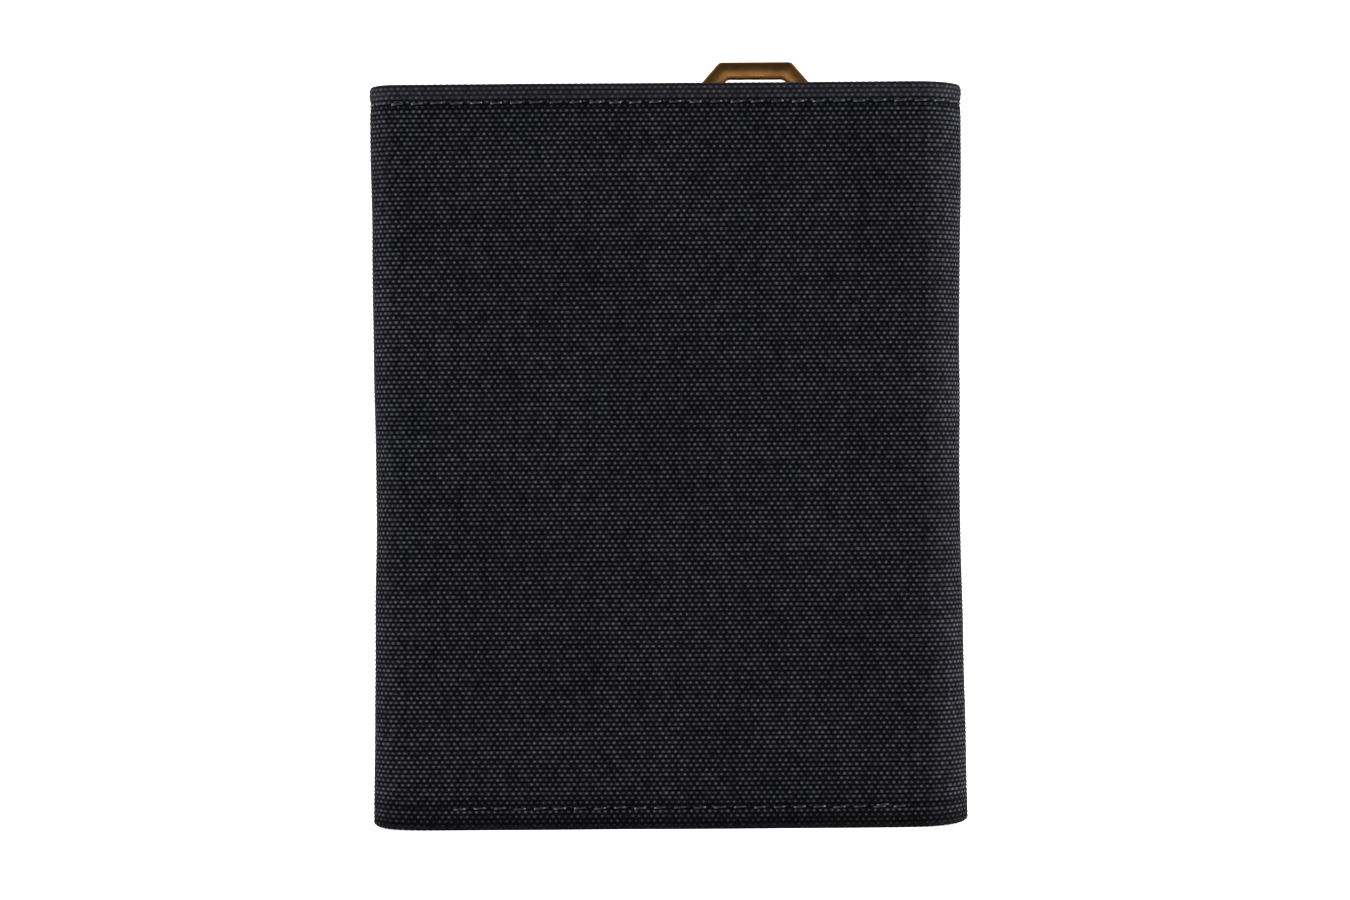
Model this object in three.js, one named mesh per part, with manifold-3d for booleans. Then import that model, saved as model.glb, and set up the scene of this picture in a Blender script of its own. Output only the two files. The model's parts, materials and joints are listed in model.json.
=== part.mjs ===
// Tri-fold passport wallet, closed and standing on its bottom edge.
// Millimetres, +Z up, origin under the middle of the bottom edge. The back faces -Y.
// One strip of canvas runs from the inner flap, round the inner spine (-X), across the back, round the
// outer spine (+X) and over the outer flap. Each spine turns on two upright fold lines.
import * as THREE from 'three';
import { mergeVertices } from 'three/addons/utils/BufferGeometryUtils.js';
import Module from 'manifold-3d';

const wasm = await Module();
wasm.setup();

// Overall size and the clearance between neighbouring pieces
const WIDTH = 112;
const HEIGHT = 140;
const BACK_FACE = -10.5;
const OUTER_FACE = 7.5;
const INNER_FACE = 1.4;
const CLEAR = 0.3;
const EDGE_X = WIDTH / 2;
// How far a cutting solid runs past what it cuts, and the distance that joins two corners into one
const OVERRUN = 1;
const WELD = 1e-4;

// Fold lines: outside corner radius of each spine
const OUTER_RADIUS = 8.5;
const INNER_RADIUS = 5.5;
const ARC_STEPS = 6;

// Layer thicknesses
const CANVAS = 0.8;
const BOARD = 1.0;
const LINING = 0.5;
const CANVAS_INSET = 0;
const BOARD_INSET = CANVAS + CLEAR;
const LINING_INSET = BOARD_INSET + BOARD + CLEAR;
const HEM_INSET = 0.6;

// Flap lengths, measured from the far side of the closed wallet
const OUTER_FLAP_END = -50;
const INNER_FLAP_END = -5;
const BOARD_MARGIN = 10;
const BOARD_EDGE = 8;

// Passport pocket on the back's lining
const POCKET_LEFT = -48.4;
const POCKET_RIGHT = 45.4;
const POCKET_DEPTH = 4.8;
const POCKET_WALL = 0.7;
const POCKET_FLOOR = 2;
const POCKET_TOP = 124;
const BINDING_HEIGHT = 4;
const POCKET_BACK = BACK_FACE + LINING_INSET + LINING;
const POCKET_FRONT = POCKET_BACK + POCKET_DEPTH;

// Carry ring and its webbing tab
const RING_X = 17.2;
const RING_WIDTH = 24.4;
const RING_TOP = 144.9;
const RING_TOP_FLAT = 13.7;
const RING_CORNER_DROP = 6.1;
const RING_BAR = 3;
const RING_THICK = 2.2;
const RING_BEVEL = 0.45;
const RING_BASE_Z = 130;
const RING_FOOT_CUT = 0.8;
const WEBBING = 0.8;
const TAB_WIDTH = 16;
const TAB_FOOT = 112;
const LOOP_INNER = 1.5;
const LOOP_OUTER = LOOP_INNER + WEBBING;
const TAB_BACK = POCKET_FRONT + POCKET_WALL + CLEAR;
const RING_Y = TAB_BACK + LOOP_OUTER;
const LOOP_STEPS = 24;

// Outer flap layers, counted inward from its canvas
const ZIP_TAPE = 0.4;
const BAG = 0.2;
const FLAP_BOARD = 0.7;
const TAPE_FRONT = OUTER_FACE - CANVAS - CLEAR;
const BAG_FRONT = TAPE_FRONT - ZIP_TAPE - CLEAR;
const FLAP_BOARD_FRONT = BAG_FRONT - BAG - CLEAR;
const FLAP_LINING_FRONT = FLAP_BOARD_FRONT - FLAP_BOARD - CLEAR;
const FLAP_LINING_BACK = FLAP_LINING_FRONT - LINING;
const FLAT_END = EDGE_X - OUTER_RADIUS;

// Card slots, stacked in steps on the outer flap's lining
const CARD_PANEL = 0.3;
const CARD_LEFT = -39;
const CARD_RIGHT = 46;
const CARD_FOOT = 4;
const CARD_TOPS = [92, 74, 56];

// Zipped coin pocket in the outer flap
const ZIP_Z = 112;
const WINDOW_LEFT = -43;
const WINDOW_RIGHT = 41;
const WINDOW_HALF = 4.5;
const TAPE_HALF = 12;
const TAPE_OVERLAP = 2;
const BAG_FOOT = 40;
const BAG_TOP = 126;
const COIL_HALF = 2.1;
const COIL_THICK = 1.0;
const COIL_SPLIT = 0.15;
const COIL_BACK = TAPE_FRONT + CLEAR;
const STOP_LENGTH = 2;
const STOP_GAP = 0.4;

// Zip slider and pull
const SLIDER_X = -36;
const SLIDER_LENGTH = 9;
const SLIDER_NOSE = 3.6;
const SLIDER_TAIL = 2.9;
const SLIDER_PLATE = 0.6;
const FLANGE = 0.7;
const SLIDER_BACK = COIL_BACK + COIL_THICK + CLEAR;
const SLIDER_FRONT = SLIDER_BACK + SLIDER_PLATE;
const CROWN_HALF = 2.2;
const CROWN_FOOT = 0.6;
const CROWN_WIDTH = 1.4;
const CROWN_RISE = 1.4;
const CROWN_BAR = 0.5;
const PULL_Y = SLIDER_FRONT + CROWN_RISE / 2;
const PULL_THICK = 0.8;
const PULL_BAR = 0.4;
const PULL_EYE_END = 3.6;
const PULL_EYE_HALF = 1.2;
const PULL_HALF = 2.8;
const PULL_LENGTH = 17;
const PULL_HOLE_RADIUS = 1.2;
const PULL_HOLE_X = 14;
const PULL_CORNER = 1.2;

// Press stud that holds the outer flap to the inner flap
const STUD_X = -44.5;
const STUD_Z = 70;
const STUD_STEPS = 32;
const CAP_RADIUS = 6;
const CAP_RISE = 1.3;
const CAP_RIM = 0.5;
const CAP_CROWN_RADIUS = 4.8;
const CAP_CROWN_EDGE = 1.1;
const SHANK_RADIUS = 1.4;
const SHANK_HOLE = SHANK_RADIUS + CLEAR;
const SOCKET_RADIUS = 4.6;
const SOCKET_BORE = 2.4;
const SOCKET_DEPTH = 1.1;
const POST_FLANGE_RADIUS = 4.2;
const POST_FLANGE = 0.3;
const POST_RADIUS = 1.8;
const POST_HEIGHT = 1.2;

const colours = {
  canvas: { color: 0x1f1f24, roughness: 0.85, metalness: 0 },
  lining: { color: 0x18181b, roughness: 0.7, metalness: 0 },
  board: { color: 0x6d655a, roughness: 0.9, metalness: 0 },
  tape: { color: 0x141416, roughness: 0.8, metalness: 0 },
  nylon: { color: 0x101012, roughness: 0.5, metalness: 0 },
  gunmetal: { color: 0x2c2a28, roughness: 0.35, metalness: 1 },
  brass: { color: 0x7a5234, roughness: 0.35, metalness: 1 },
};

const wallet = new THREE.Group();

function add(name, geometry, colour) {
  const mesh = new THREE.Mesh(geometry, new THREE.MeshStandardMaterial(colours[colour]));
  mesh.name = name;
  wallet.add(mesh);
}

// Closed geometry to solid, and back
function toSolid(geometry) {
  const plain = geometry.clone();
  plain.deleteAttribute('normal');
  plain.deleteAttribute('uv');
  const merged = mergeVertices(plain, WELD);
  return new wasm.Manifold(new wasm.Mesh({
    numProp: 3,
    vertProperties: merged.attributes.position.array,
    triVerts: new Uint32Array(merged.index.array),
  }));
}

function toGeometry(solid) {
  const { vertProperties, triVerts } = solid.getMesh();
  const geometry = new THREE.BufferGeometry();
  geometry.setAttribute('position', new THREE.BufferAttribute(vertProperties, 3));
  geometry.setIndex(new THREE.BufferAttribute(triVerts, 1));
  return geometry;
}

function join(...geometries) {
  return toGeometry(geometries.map(toSolid).reduce((whole, piece) => whole.add(piece)));
}

function cut(geometry, ...tools) {
  return toGeometry(tools.map(toSolid).reduce((whole, tool) => whole.subtract(tool), toSolid(geometry)));
}

// Box between two corners
function block([x0, x1], [y0, y1], [z0, z1]) {
  const box = new THREE.BoxGeometry(x1 - x0, y1 - y0, z1 - z0);
  return box.translate((x0 + x1) / 2, (y0 + y1) / 2, (z0 + z1) / 2);
}

// Disc along Y
function disc(radius, [y0, y1], x, z, steps = STUD_STEPS) {
  return new THREE.CylinderGeometry(radius, radius, y1 - y0, steps).translate(x, (y0 + y1) / 2, z);
}

// Rod along X
function rod(radius, length, x, y, z) {
  const upright = new THREE.CylinderGeometry(radius, radius, length, LOOP_STEPS);
  return upright.rotateZ(Math.PI / 2).translate(x, y, z);
}

// Outline in X and Z, given thickness along Y from yLow upward
function sheetOf(shape, thickness, yLow, bevel = 0) {
  const geometry = new THREE.ExtrudeGeometry(shape, {
    depth: thickness - 2 * bevel,
    bevelEnabled: bevel > 0,
    bevelThickness: bevel,
    bevelSize: bevel,
    bevelOffset: -bevel,
    bevelSegments: 1,
    curveSegments: ARC_STEPS,
  });
  return geometry.rotateX(Math.PI / 2).translate(0, yLow + thickness - bevel, 0);
}

const QUARTER = Math.PI / 2;
const DIAGONAL = Math.PI / 4;

// An arc of the folded strip's outside, each point with the unit direction pointing inward. An end at a
// fold line stops half a clearance short of it.
function bend(centreX, centreY, radius, from, to) {
  const trim = CLEAR / 2 / radius * Math.sign(to - from);
  const start = from % QUARTER === 0 ? from : from + trim;
  const end = to % QUARTER === 0 ? to : to - trim;
  return Array.from({ length: ARC_STEPS + 1 }, (_, step) => {
    const angle = start + (end - start) * step / ARC_STEPS;
    const [x, y] = [Math.cos(angle), Math.sin(angle)];
    return { x: centreX + radius * x, y: centreY + radius * y, inX: -x, inY: -y };
  });
}

// The strip between inset and inset + thickness, standing from the bottom edge to the top edge
function strip(points, inset, thickness, [zLow, zHigh] = [0, HEIGHT]) {
  const at = (point, depth) => new THREE.Vector2(point.x + point.inX * depth, point.y + point.inY * depth);
  const outer = points.map((point) => at(point, inset));
  const inner = points.map((point) => at(point, inset + thickness)).reverse();
  const outline = new THREE.Shape([...outer, ...inner]);
  const geometry = new THREE.ExtrudeGeometry(outline, { depth: zHigh - zLow, bevelEnabled: false });
  return geometry.translate(0, 0, zLow);
}

// Centres of the strip's rounded corners, and the points along each of its stretches
const outerX = EDGE_X - OUTER_RADIUS;
const outerLowY = BACK_FACE + OUTER_RADIUS;
const outerHighY = OUTER_FACE - OUTER_RADIUS;
const innerX = -EDGE_X + INNER_RADIUS;
const innerLowY = BACK_FACE + INNER_RADIUS;
const innerHighY = INNER_FACE - INNER_RADIUS;

const stretches = {
  back: [
    ...bend(innerX, innerLowY, INNER_RADIUS, -QUARTER - DIAGONAL, -QUARTER),
    ...bend(outerX, outerLowY, OUTER_RADIUS, -QUARTER, -DIAGONAL),
  ],
  outerSpine: [
    ...bend(outerX, outerLowY, OUTER_RADIUS, -DIAGONAL, 0),
    ...bend(outerX, outerHighY, OUTER_RADIUS, 0, DIAGONAL),
  ],
  outerFlap: [
    ...bend(outerX, outerHighY, OUTER_RADIUS, DIAGONAL, QUARTER),
    { x: OUTER_FLAP_END, y: OUTER_FACE, inX: 0, inY: -1 },
  ],
  innerSpine: [
    ...bend(innerX, innerHighY, INNER_RADIUS, QUARTER + DIAGONAL, 2 * QUARTER),
    ...bend(innerX, innerLowY, INNER_RADIUS, 2 * QUARTER, 2 * QUARTER + DIAGONAL),
  ],
  innerFlap: [
    { x: INNER_FLAP_END, y: INNER_FACE, inX: 0, inY: -1 },
    ...bend(innerX, innerHighY, INNER_RADIUS, QUARTER, QUARTER + DIAGONAL),
  ],
};

const insideHems = [HEM_INSET, HEIGHT - HEM_INSET];
const boardHeight = [BOARD_MARGIN, HEIGHT - BOARD_MARGIN];

function makeBack() {
  add('back_canvas', strip(stretches.back, CANVAS_INSET, CANVAS), 'canvas');
  const boardY = [BACK_FACE + BOARD_INSET, BACK_FACE + BOARD_INSET + BOARD];
  add('back_stiffener', block([innerX, outerX], boardY, boardHeight), 'board');
  add('back_lining', strip(stretches.back, LINING_INSET, LINING, insideHems), 'lining');
}

// Tray of thin walls with its back edges against the lining, open at the top
function makePassportPocket() {
  const tray = block([POCKET_LEFT, POCKET_RIGHT], [POCKET_BACK + CLEAR, POCKET_FRONT + POCKET_WALL],
    [POCKET_FLOOR, POCKET_TOP]);
  const room = block([POCKET_LEFT + POCKET_WALL, POCKET_RIGHT - POCKET_WALL],
    [POCKET_BACK - OVERRUN, POCKET_FRONT], [POCKET_FLOOR + POCKET_WALL, POCKET_TOP + OVERRUN]);
  add('passport_pocket', cut(tray, room), 'lining');
  const binding = block([POCKET_LEFT, POCKET_RIGHT], [POCKET_FRONT, POCKET_FRONT + POCKET_WALL],
    [POCKET_TOP + CLEAR, POCKET_TOP + BINDING_HEIGHT]);
  add('passport_pocket_binding', binding, 'tape');
}

// Webbing folded round the ring's foot bar, its two tails sewn to the pocket
function makeRingTab() {
  const tails = block([RING_X - TAB_WIDTH / 2, RING_X + TAB_WIDTH / 2], [TAB_BACK, TAB_BACK + 2 * WEBBING],
    [TAB_FOOT, RING_BASE_Z]);
  const loop = rod(LOOP_OUTER, TAB_WIDTH, RING_X, RING_Y, RING_BASE_Z);
  const hollow = rod(LOOP_INNER, TAB_WIDTH + 2 * OVERRUN, RING_X, RING_Y, RING_BASE_Z);
  add('ring_tab', cut(join(tails, loop), hollow), 'tape');
}

function makeRing() {
  const side = RING_WIDTH / 2;
  const foot = RING_BASE_Z - RING_THICK / 2;
  const outline = new THREE.Shape([
    [-side + RING_FOOT_CUT, foot], [side - RING_FOOT_CUT, foot], [side, foot + RING_FOOT_CUT],
    [side, RING_TOP - RING_CORNER_DROP], [RING_TOP_FLAT / 2, RING_TOP],
    [-RING_TOP_FLAT / 2, RING_TOP], [-side, RING_TOP - RING_CORNER_DROP], [-side, foot + RING_FOOT_CUT],
  ].map(([x, z]) => new THREE.Vector2(RING_X + x, z)));
  // The eye keeps the bar's width along the sloping corners
  const slope = Math.atan2(RING_CORNER_DROP, side - RING_TOP_FLAT / 2);
  const eyeSide = side - RING_BAR;
  const eyeFlat = RING_TOP_FLAT / 2 - RING_BAR * Math.tan(slope / 2);
  const eyeTop = RING_TOP - RING_BAR;
  const eyeShoulder = eyeTop - (eyeSide - eyeFlat) * Math.tan(slope);
  const eyeFoot = RING_BASE_Z + RING_THICK / 2;
  outline.holes.push(new THREE.Path([
    [-eyeSide, eyeFoot], [-eyeSide, eyeShoulder], [-eyeFlat, eyeTop],
    [eyeFlat, eyeTop], [eyeSide, eyeShoulder], [eyeSide, eyeFoot],
  ].map(([x, z]) => new THREE.Vector2(RING_X + x, z))));
  add('carry_ring', sheetOf(outline, RING_THICK, RING_Y - RING_THICK / 2, RING_BEVEL), 'brass');
}

function makeSpines() {
  add('outer_spine_canvas', strip(stretches.outerSpine, CANVAS_INSET, CANVAS), 'canvas');
  add('outer_spine_lining', strip(stretches.outerSpine, LINING_INSET, LINING, insideHems), 'lining');
  add('inner_spine_canvas', strip(stretches.innerSpine, CANVAS_INSET, CANVAS), 'canvas');
  add('inner_spine_lining', strip(stretches.innerSpine, LINING_INSET, LINING, insideHems), 'lining');
}

function makeInnerFlap() {
  add('inner_flap_canvas', strip(stretches.innerFlap, CANVAS_INSET, CANVAS), 'canvas');
  const flapX = [innerX, INNER_FLAP_END - BOARD_EDGE];
  const boardFront = INNER_FACE - BOARD_INSET;
  add('inner_flap_stiffener', block(flapX, [boardFront - BOARD, boardFront], boardHeight), 'board');
  add('inner_flap_lining', strip(stretches.innerFlap, LINING_INSET, LINING, insideHems), 'lining');
}

function makeOuterFlap() {
  const window = block([WINDOW_LEFT, WINDOW_RIGHT], [OUTER_FACE - CANVAS - OVERRUN, OUTER_FACE + OVERRUN],
    [ZIP_Z - WINDOW_HALF, ZIP_Z + WINDOW_HALF]);
  const through = [FLAP_LINING_BACK - OVERRUN, OUTER_FACE + OVERRUN];
  const shankHole = disc(SHANK_HOLE, through, STUD_X, STUD_Z, LOOP_STEPS);
  const canvas = strip(stretches.outerFlap, CANVAS_INSET, CANVAS);
  add('outer_flap_canvas', cut(canvas, window, shankHole), 'canvas');
  const flapX = [OUTER_FLAP_END + BOARD_EDGE, FLAT_END];
  const board = block(flapX, [FLAP_BOARD_FRONT - FLAP_BOARD, FLAP_BOARD_FRONT], boardHeight);
  add('outer_flap_stiffener', cut(board, shankHole), 'board');
  const lining = block([OUTER_FLAP_END, FLAT_END], [FLAP_LINING_BACK, FLAP_LINING_FRONT], insideHems);
  add('outer_flap_lining', cut(lining, shankHole), 'lining');
  CARD_TOPS.forEach((top, index) => {
    const front = FLAP_LINING_BACK - CLEAR - index * (CARD_PANEL + CLEAR);
    const panel = block([CARD_LEFT, CARD_RIGHT], [front - CARD_PANEL, front], [CARD_FOOT, top]);
    add(`card_slot_${index + 1}`, panel, 'lining');
  });
}

// Coin pocket behind the window, with one zip tape and one coil above and one below the slit
function makeZip() {
  const bag = block([WINDOW_LEFT + CLEAR, FLAT_END], [BAG_FRONT - BAG, BAG_FRONT], [BAG_FOOT, BAG_TOP]);
  const shankHole = disc(SHANK_HOLE, [BAG_FRONT - OVERRUN, BAG_FRONT + OVERRUN], STUD_X, STUD_Z, LOOP_STEPS);
  add('coin_pocket_bag', cut(bag, shankHole), 'lining');
  const coilX = [WINDOW_LEFT + STOP_LENGTH + STOP_GAP, WINDOW_RIGHT - STOP_LENGTH - STOP_GAP];
  for (const [side, sign] of [['upper', 1], ['lower', -1]]) {
    const between = (near, far) => [ZIP_Z + sign * near, ZIP_Z + sign * far].sort((a, b) => a - b);
    const tapeX = [WINDOW_LEFT - TAPE_OVERLAP, WINDOW_RIGHT + TAPE_OVERLAP];
    const tapeY = [TAPE_FRONT - ZIP_TAPE, TAPE_FRONT];
    add(`zip_tape_${side}`, block(tapeX, tapeY, between(COIL_SPLIT, TAPE_HALF)), 'tape');
    const coilY = [COIL_BACK, COIL_BACK + COIL_THICK];
    add(`zip_coil_${side}`, block(coilX, coilY, between(COIL_SPLIT, COIL_HALF)), 'nylon');
  }
  const stopY = [COIL_BACK, COIL_BACK + COIL_THICK + CLEAR];
  const stopZ = [ZIP_Z - COIL_HALF, ZIP_Z + COIL_HALF];
  const leftX = [WINDOW_LEFT + STOP_GAP, WINDOW_LEFT + STOP_LENGTH];
  const rightX = [WINDOW_RIGHT - STOP_LENGTH, WINDOW_RIGHT - STOP_GAP];
  add('zip_stop_left', block(leftX, stopY, stopZ), 'gunmetal');
  add('zip_stop_right', block(rightX, stopY, stopZ), 'gunmetal');
}

// Slider: a plate over the coils, a flange down each side and an arched crown that holds the pull
function makeSlider() {
  const half = SLIDER_LENGTH / 2;
  const outline = new THREE.Shape([
    [-half, -SLIDER_NOSE + PULL_CORNER], [-half + PULL_CORNER, -SLIDER_NOSE], [0, -SLIDER_NOSE],
    [half - PULL_CORNER, -SLIDER_TAIL], [half, -SLIDER_TAIL + PULL_CORNER],
    [half, SLIDER_TAIL - PULL_CORNER], [half - PULL_CORNER, SLIDER_TAIL], [0, SLIDER_NOSE],
    [-half + PULL_CORNER, SLIDER_NOSE], [-half, SLIDER_NOSE - PULL_CORNER],
  ].map(([x, z]) => new THREE.Vector2(SLIDER_X + x, ZIP_Z + z)));
  const pieces = [sheetOf(outline, SLIDER_PLATE, SLIDER_BACK)];
  const flangeX = [SLIDER_X - half + PULL_CORNER, SLIDER_X + half - PULL_CORNER];
  for (const sign of [1, -1]) {
    const near = ZIP_Z + sign * (COIL_HALF + CLEAR);
    const flangeZ = [near, near + sign * FLANGE].sort((a, b) => a - b);
    pieces.push(block(flangeX, [COIL_BACK, SLIDER_FRONT], flangeZ));
    const footX = [SLIDER_X + sign * CROWN_HALF, SLIDER_X + sign * (CROWN_HALF - CROWN_FOOT)];
    footX.sort((a, b) => a - b);
    pieces.push(block(footX, [SLIDER_BACK, SLIDER_FRONT + CROWN_RISE + CROWN_BAR],
      [ZIP_Z - CROWN_WIDTH / 2, ZIP_Z + CROWN_WIDTH / 2]));
  }
  pieces.push(block([SLIDER_X - CROWN_HALF, SLIDER_X + CROWN_HALF],
    [SLIDER_FRONT + CROWN_RISE, SLIDER_FRONT + CROWN_RISE + CROWN_BAR],
    [ZIP_Z - CROWN_WIDTH / 2, ZIP_Z + CROWN_WIDTH / 2]));
  add('zip_slider', join(...pieces), 'gunmetal');
}

// Pull: a tab with a window for the crown and a round hole near its end
function makePull() {
  const outline = new THREE.Shape([
    [-PULL_BAR, -PULL_HALF], [PULL_LENGTH - PULL_CORNER, -PULL_HALF], [PULL_LENGTH, -PULL_HALF + PULL_CORNER],
    [PULL_LENGTH, PULL_HALF - PULL_CORNER], [PULL_LENGTH - PULL_CORNER, PULL_HALF], [-PULL_BAR, PULL_HALF],
  ].map(([x, z]) => new THREE.Vector2(SLIDER_X + x, ZIP_Z + z)));
  outline.holes.push(new THREE.Path([
    [PULL_BAR, -PULL_EYE_HALF], [PULL_BAR, PULL_EYE_HALF],
    [PULL_EYE_END, PULL_EYE_HALF], [PULL_EYE_END, -PULL_EYE_HALF],
  ].map(([x, z]) => new THREE.Vector2(SLIDER_X + x, ZIP_Z + z))));
  const hole = new THREE.Path();
  hole.absarc(SLIDER_X + PULL_HOLE_X, ZIP_Z, PULL_HOLE_RADIUS, 0, 4 * QUARTER, true);
  outline.holes.push(hole);
  add('zip_pull', sheetOf(outline, PULL_THICK, PULL_Y - PULL_THICK / 2), 'gunmetal');
}

function makeStud() {
  const capProfile = [
    [0, 0], [CAP_RADIUS, 0], [CAP_RADIUS, CAP_RIM], [CAP_CROWN_RADIUS, CAP_CROWN_EDGE], [0, CAP_RISE],
  ].map(([radius, height]) => new THREE.Vector2(radius, height));
  const dome = new THREE.LatheGeometry(capProfile, STUD_STEPS).translate(STUD_X, OUTER_FACE + CLEAR, STUD_Z);
  const shank = disc(SHANK_RADIUS, [FLAP_LINING_BACK, OUTER_FACE + CAP_RIM], STUD_X, STUD_Z, LOOP_STEPS);
  add('stud_cap', join(dome, shank), 'gunmetal');
  const socketFront = FLAP_LINING_BACK - CLEAR;
  const socket = disc(SOCKET_RADIUS, [socketFront - SOCKET_DEPTH, socketFront], STUD_X, STUD_Z);
  const through = [socketFront - SOCKET_DEPTH - OVERRUN, socketFront + OVERRUN];
  const bore = disc(SOCKET_BORE, through, STUD_X, STUD_Z);
  add('stud_socket', cut(socket, bore), 'gunmetal');
  const seat = INNER_FACE + CLEAR;
  const flange = disc(POST_FLANGE_RADIUS, [seat, seat + POST_FLANGE], STUD_X, STUD_Z);
  const post = disc(POST_RADIUS, [seat, seat + POST_FLANGE + POST_HEIGHT], STUD_X, STUD_Z, LOOP_STEPS);
  add('stud_post', join(flange, post), 'gunmetal');
}

makeBack();
makePassportPocket();
makeRingTab();
makeRing();
makeSpines();
makeInnerFlap();
makeOuterFlap();
makeZip();
makeSlider();
makePull();
makeStud();

export default wallet;
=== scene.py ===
# Looks of the tri-fold canvas passport wallet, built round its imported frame. Lengths here are in
# millimetres and become metres where a mesh is made.
import json

import bpy
import numpy as np
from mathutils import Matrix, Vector


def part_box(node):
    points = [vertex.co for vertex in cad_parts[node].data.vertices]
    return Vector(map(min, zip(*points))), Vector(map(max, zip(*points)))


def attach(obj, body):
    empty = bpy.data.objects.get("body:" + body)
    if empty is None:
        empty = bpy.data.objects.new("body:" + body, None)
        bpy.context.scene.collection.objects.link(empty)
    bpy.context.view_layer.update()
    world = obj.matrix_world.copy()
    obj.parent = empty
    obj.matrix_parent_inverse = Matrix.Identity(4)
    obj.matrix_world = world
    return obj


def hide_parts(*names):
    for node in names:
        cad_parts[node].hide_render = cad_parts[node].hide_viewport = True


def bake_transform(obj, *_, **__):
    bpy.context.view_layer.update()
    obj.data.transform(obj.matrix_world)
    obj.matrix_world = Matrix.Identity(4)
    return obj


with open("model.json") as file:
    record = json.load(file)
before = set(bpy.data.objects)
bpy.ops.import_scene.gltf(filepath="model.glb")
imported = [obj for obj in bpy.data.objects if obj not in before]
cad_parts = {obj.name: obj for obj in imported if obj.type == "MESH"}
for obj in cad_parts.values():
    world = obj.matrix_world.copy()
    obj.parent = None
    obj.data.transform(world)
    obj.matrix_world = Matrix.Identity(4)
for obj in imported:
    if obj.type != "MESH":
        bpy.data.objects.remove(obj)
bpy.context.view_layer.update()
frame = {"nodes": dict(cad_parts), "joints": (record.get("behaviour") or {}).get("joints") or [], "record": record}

MM = 0.001
JOINTS = {joint["name"]: joint for joint in frame["joints"]}
rng = np.random.default_rng(11)


def corners(node):
    """A CAD node's lowest and highest corners in millimetres."""
    low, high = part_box(node)
    return np.array(low) / MM, np.array(high) / MM


def middle_and_half(node):
    """The middle of a CAD node's box and half its sides."""
    low, high = corners(node)
    return (low + high) / 2, (high - low) / 2


def pivot(joint):
    return np.array(JOINTS[joint]["pos_m"]) / MM


# ---- sizes read from the frame
HEIGHT = corners("back_canvas")[1][2]
RIGHT = corners("outer_spine_canvas")[1][0]
LEFT = corners("inner_spine_canvas")[0][0]
BACK_Y = corners("back_canvas")[0][1]
OUTER_Y = corners("outer_flap_canvas")[1][1]
INNER_Y = corners("inner_flap_canvas")[1][1]
OUTER_END = corners("outer_flap_canvas")[0][0]
INNER_END = corners("inner_flap_canvas")[1][0]
HINGE_INSET = 1 - 2 ** -0.5
ZIP_Z = pivot("pull_swing")[2]
WINDOW_HALF = 4.5
STOP_GAP = 0.4
WINDOW_SEAM = 1.6
WINDOW = ZIP_Z - WINDOW_HALF, ZIP_Z + WINDOW_HALF
WINDOW_X = corners("zip_stop_left")[0][0] - STOP_GAP, corners("zip_stop_right")[1][0] + STOP_GAP
OUTER_RADIUS = (RIGHT - pivot("outer_fold")[0]) / HINGE_INSET
INNER_RADIUS = (pivot("inner_fold")[0] - LEFT) / HINGE_INSET

# ---- cloth sizes
WARP_PITCH = 0.575
WEFT_PITCH = HEIGHT / 163
COLUMN = WARP_PITCH / 2
ROW = WEFT_PITCH / 2
YARN_RELIEF = 0.085
CANVAS_THICK = 0.75
TURN_RADIUS = 0.8
HEM_DEPTH = 9.0
WRAP_RADIUS = 0.85
WRAP_RETURN = 5.4
TOP_SEAM = HEIGHT - 3.6
BOTTOM_SEAM = 4.1
BACK_SEAM_X = -41.3, 44.9
BACK_TACK_X = 37.6, 42.2
FLAP_SEAM_INSET = 3.4
STITCH = 3.8
THREAD_RADIUS = 0.2
THREAD_SIDES = 6
FLAT_STITCH = 3.2
FLAT_THREAD_RADIUS = 0.16


# ---- the folded strip in plan view
class Path:
    """Lines and left turns, end to end. It starts towards +X and has the inside of the wallet on its left."""

    def __init__(self, start):
        self.place = np.array(start, float)
        self.heading = 0.0
        self.length = 0.0
        self.parts = []
        self.marks = {}

    def add(self, size, name, *shape):
        """Keep a part and go to its end, which gets a name."""
        self.parts.append((self.length, size, *shape))
        self.length += size
        self.marks[name] = self.length
        self.place = self.at([self.length])[0][0]
        return self

    def line(self, size, name):
        way = np.array([np.cos(self.heading), np.sin(self.heading)])
        return self.add(size, name, self.place, way, None)

    def arc(self, radius, turns, name):
        """turns is in quarters of a full turn."""
        sweep = turns * np.pi / 2
        begin = self.heading - np.pi / 2
        centre = self.place - radius * np.array([np.cos(begin), np.sin(begin)])
        self.heading += sweep
        return self.add(sweep * radius, name, centre, radius, begin)

    def at(self, s):
        """Points and inward normals at an array of lengths along the path."""
        s = np.asarray(s, float)
        point, inward = np.zeros((len(s), 2)), np.zeros((len(s), 2))
        for index, (start, size, origin, shape, begin) in enumerate(self.parts):
            here = s >= start if index else np.ones(len(s), bool)
            along = s[here] - start
            if begin is None:
                point[here] = origin + along[:, None] * shape
                inward[here] = (-shape[1], shape[0])
            else:
                angle = begin + along / shape
                ray = np.stack([np.cos(angle), np.sin(angle)], 1)
                point[here] = origin + shape * ray
                inward[here] = -ray
        return point, inward


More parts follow.
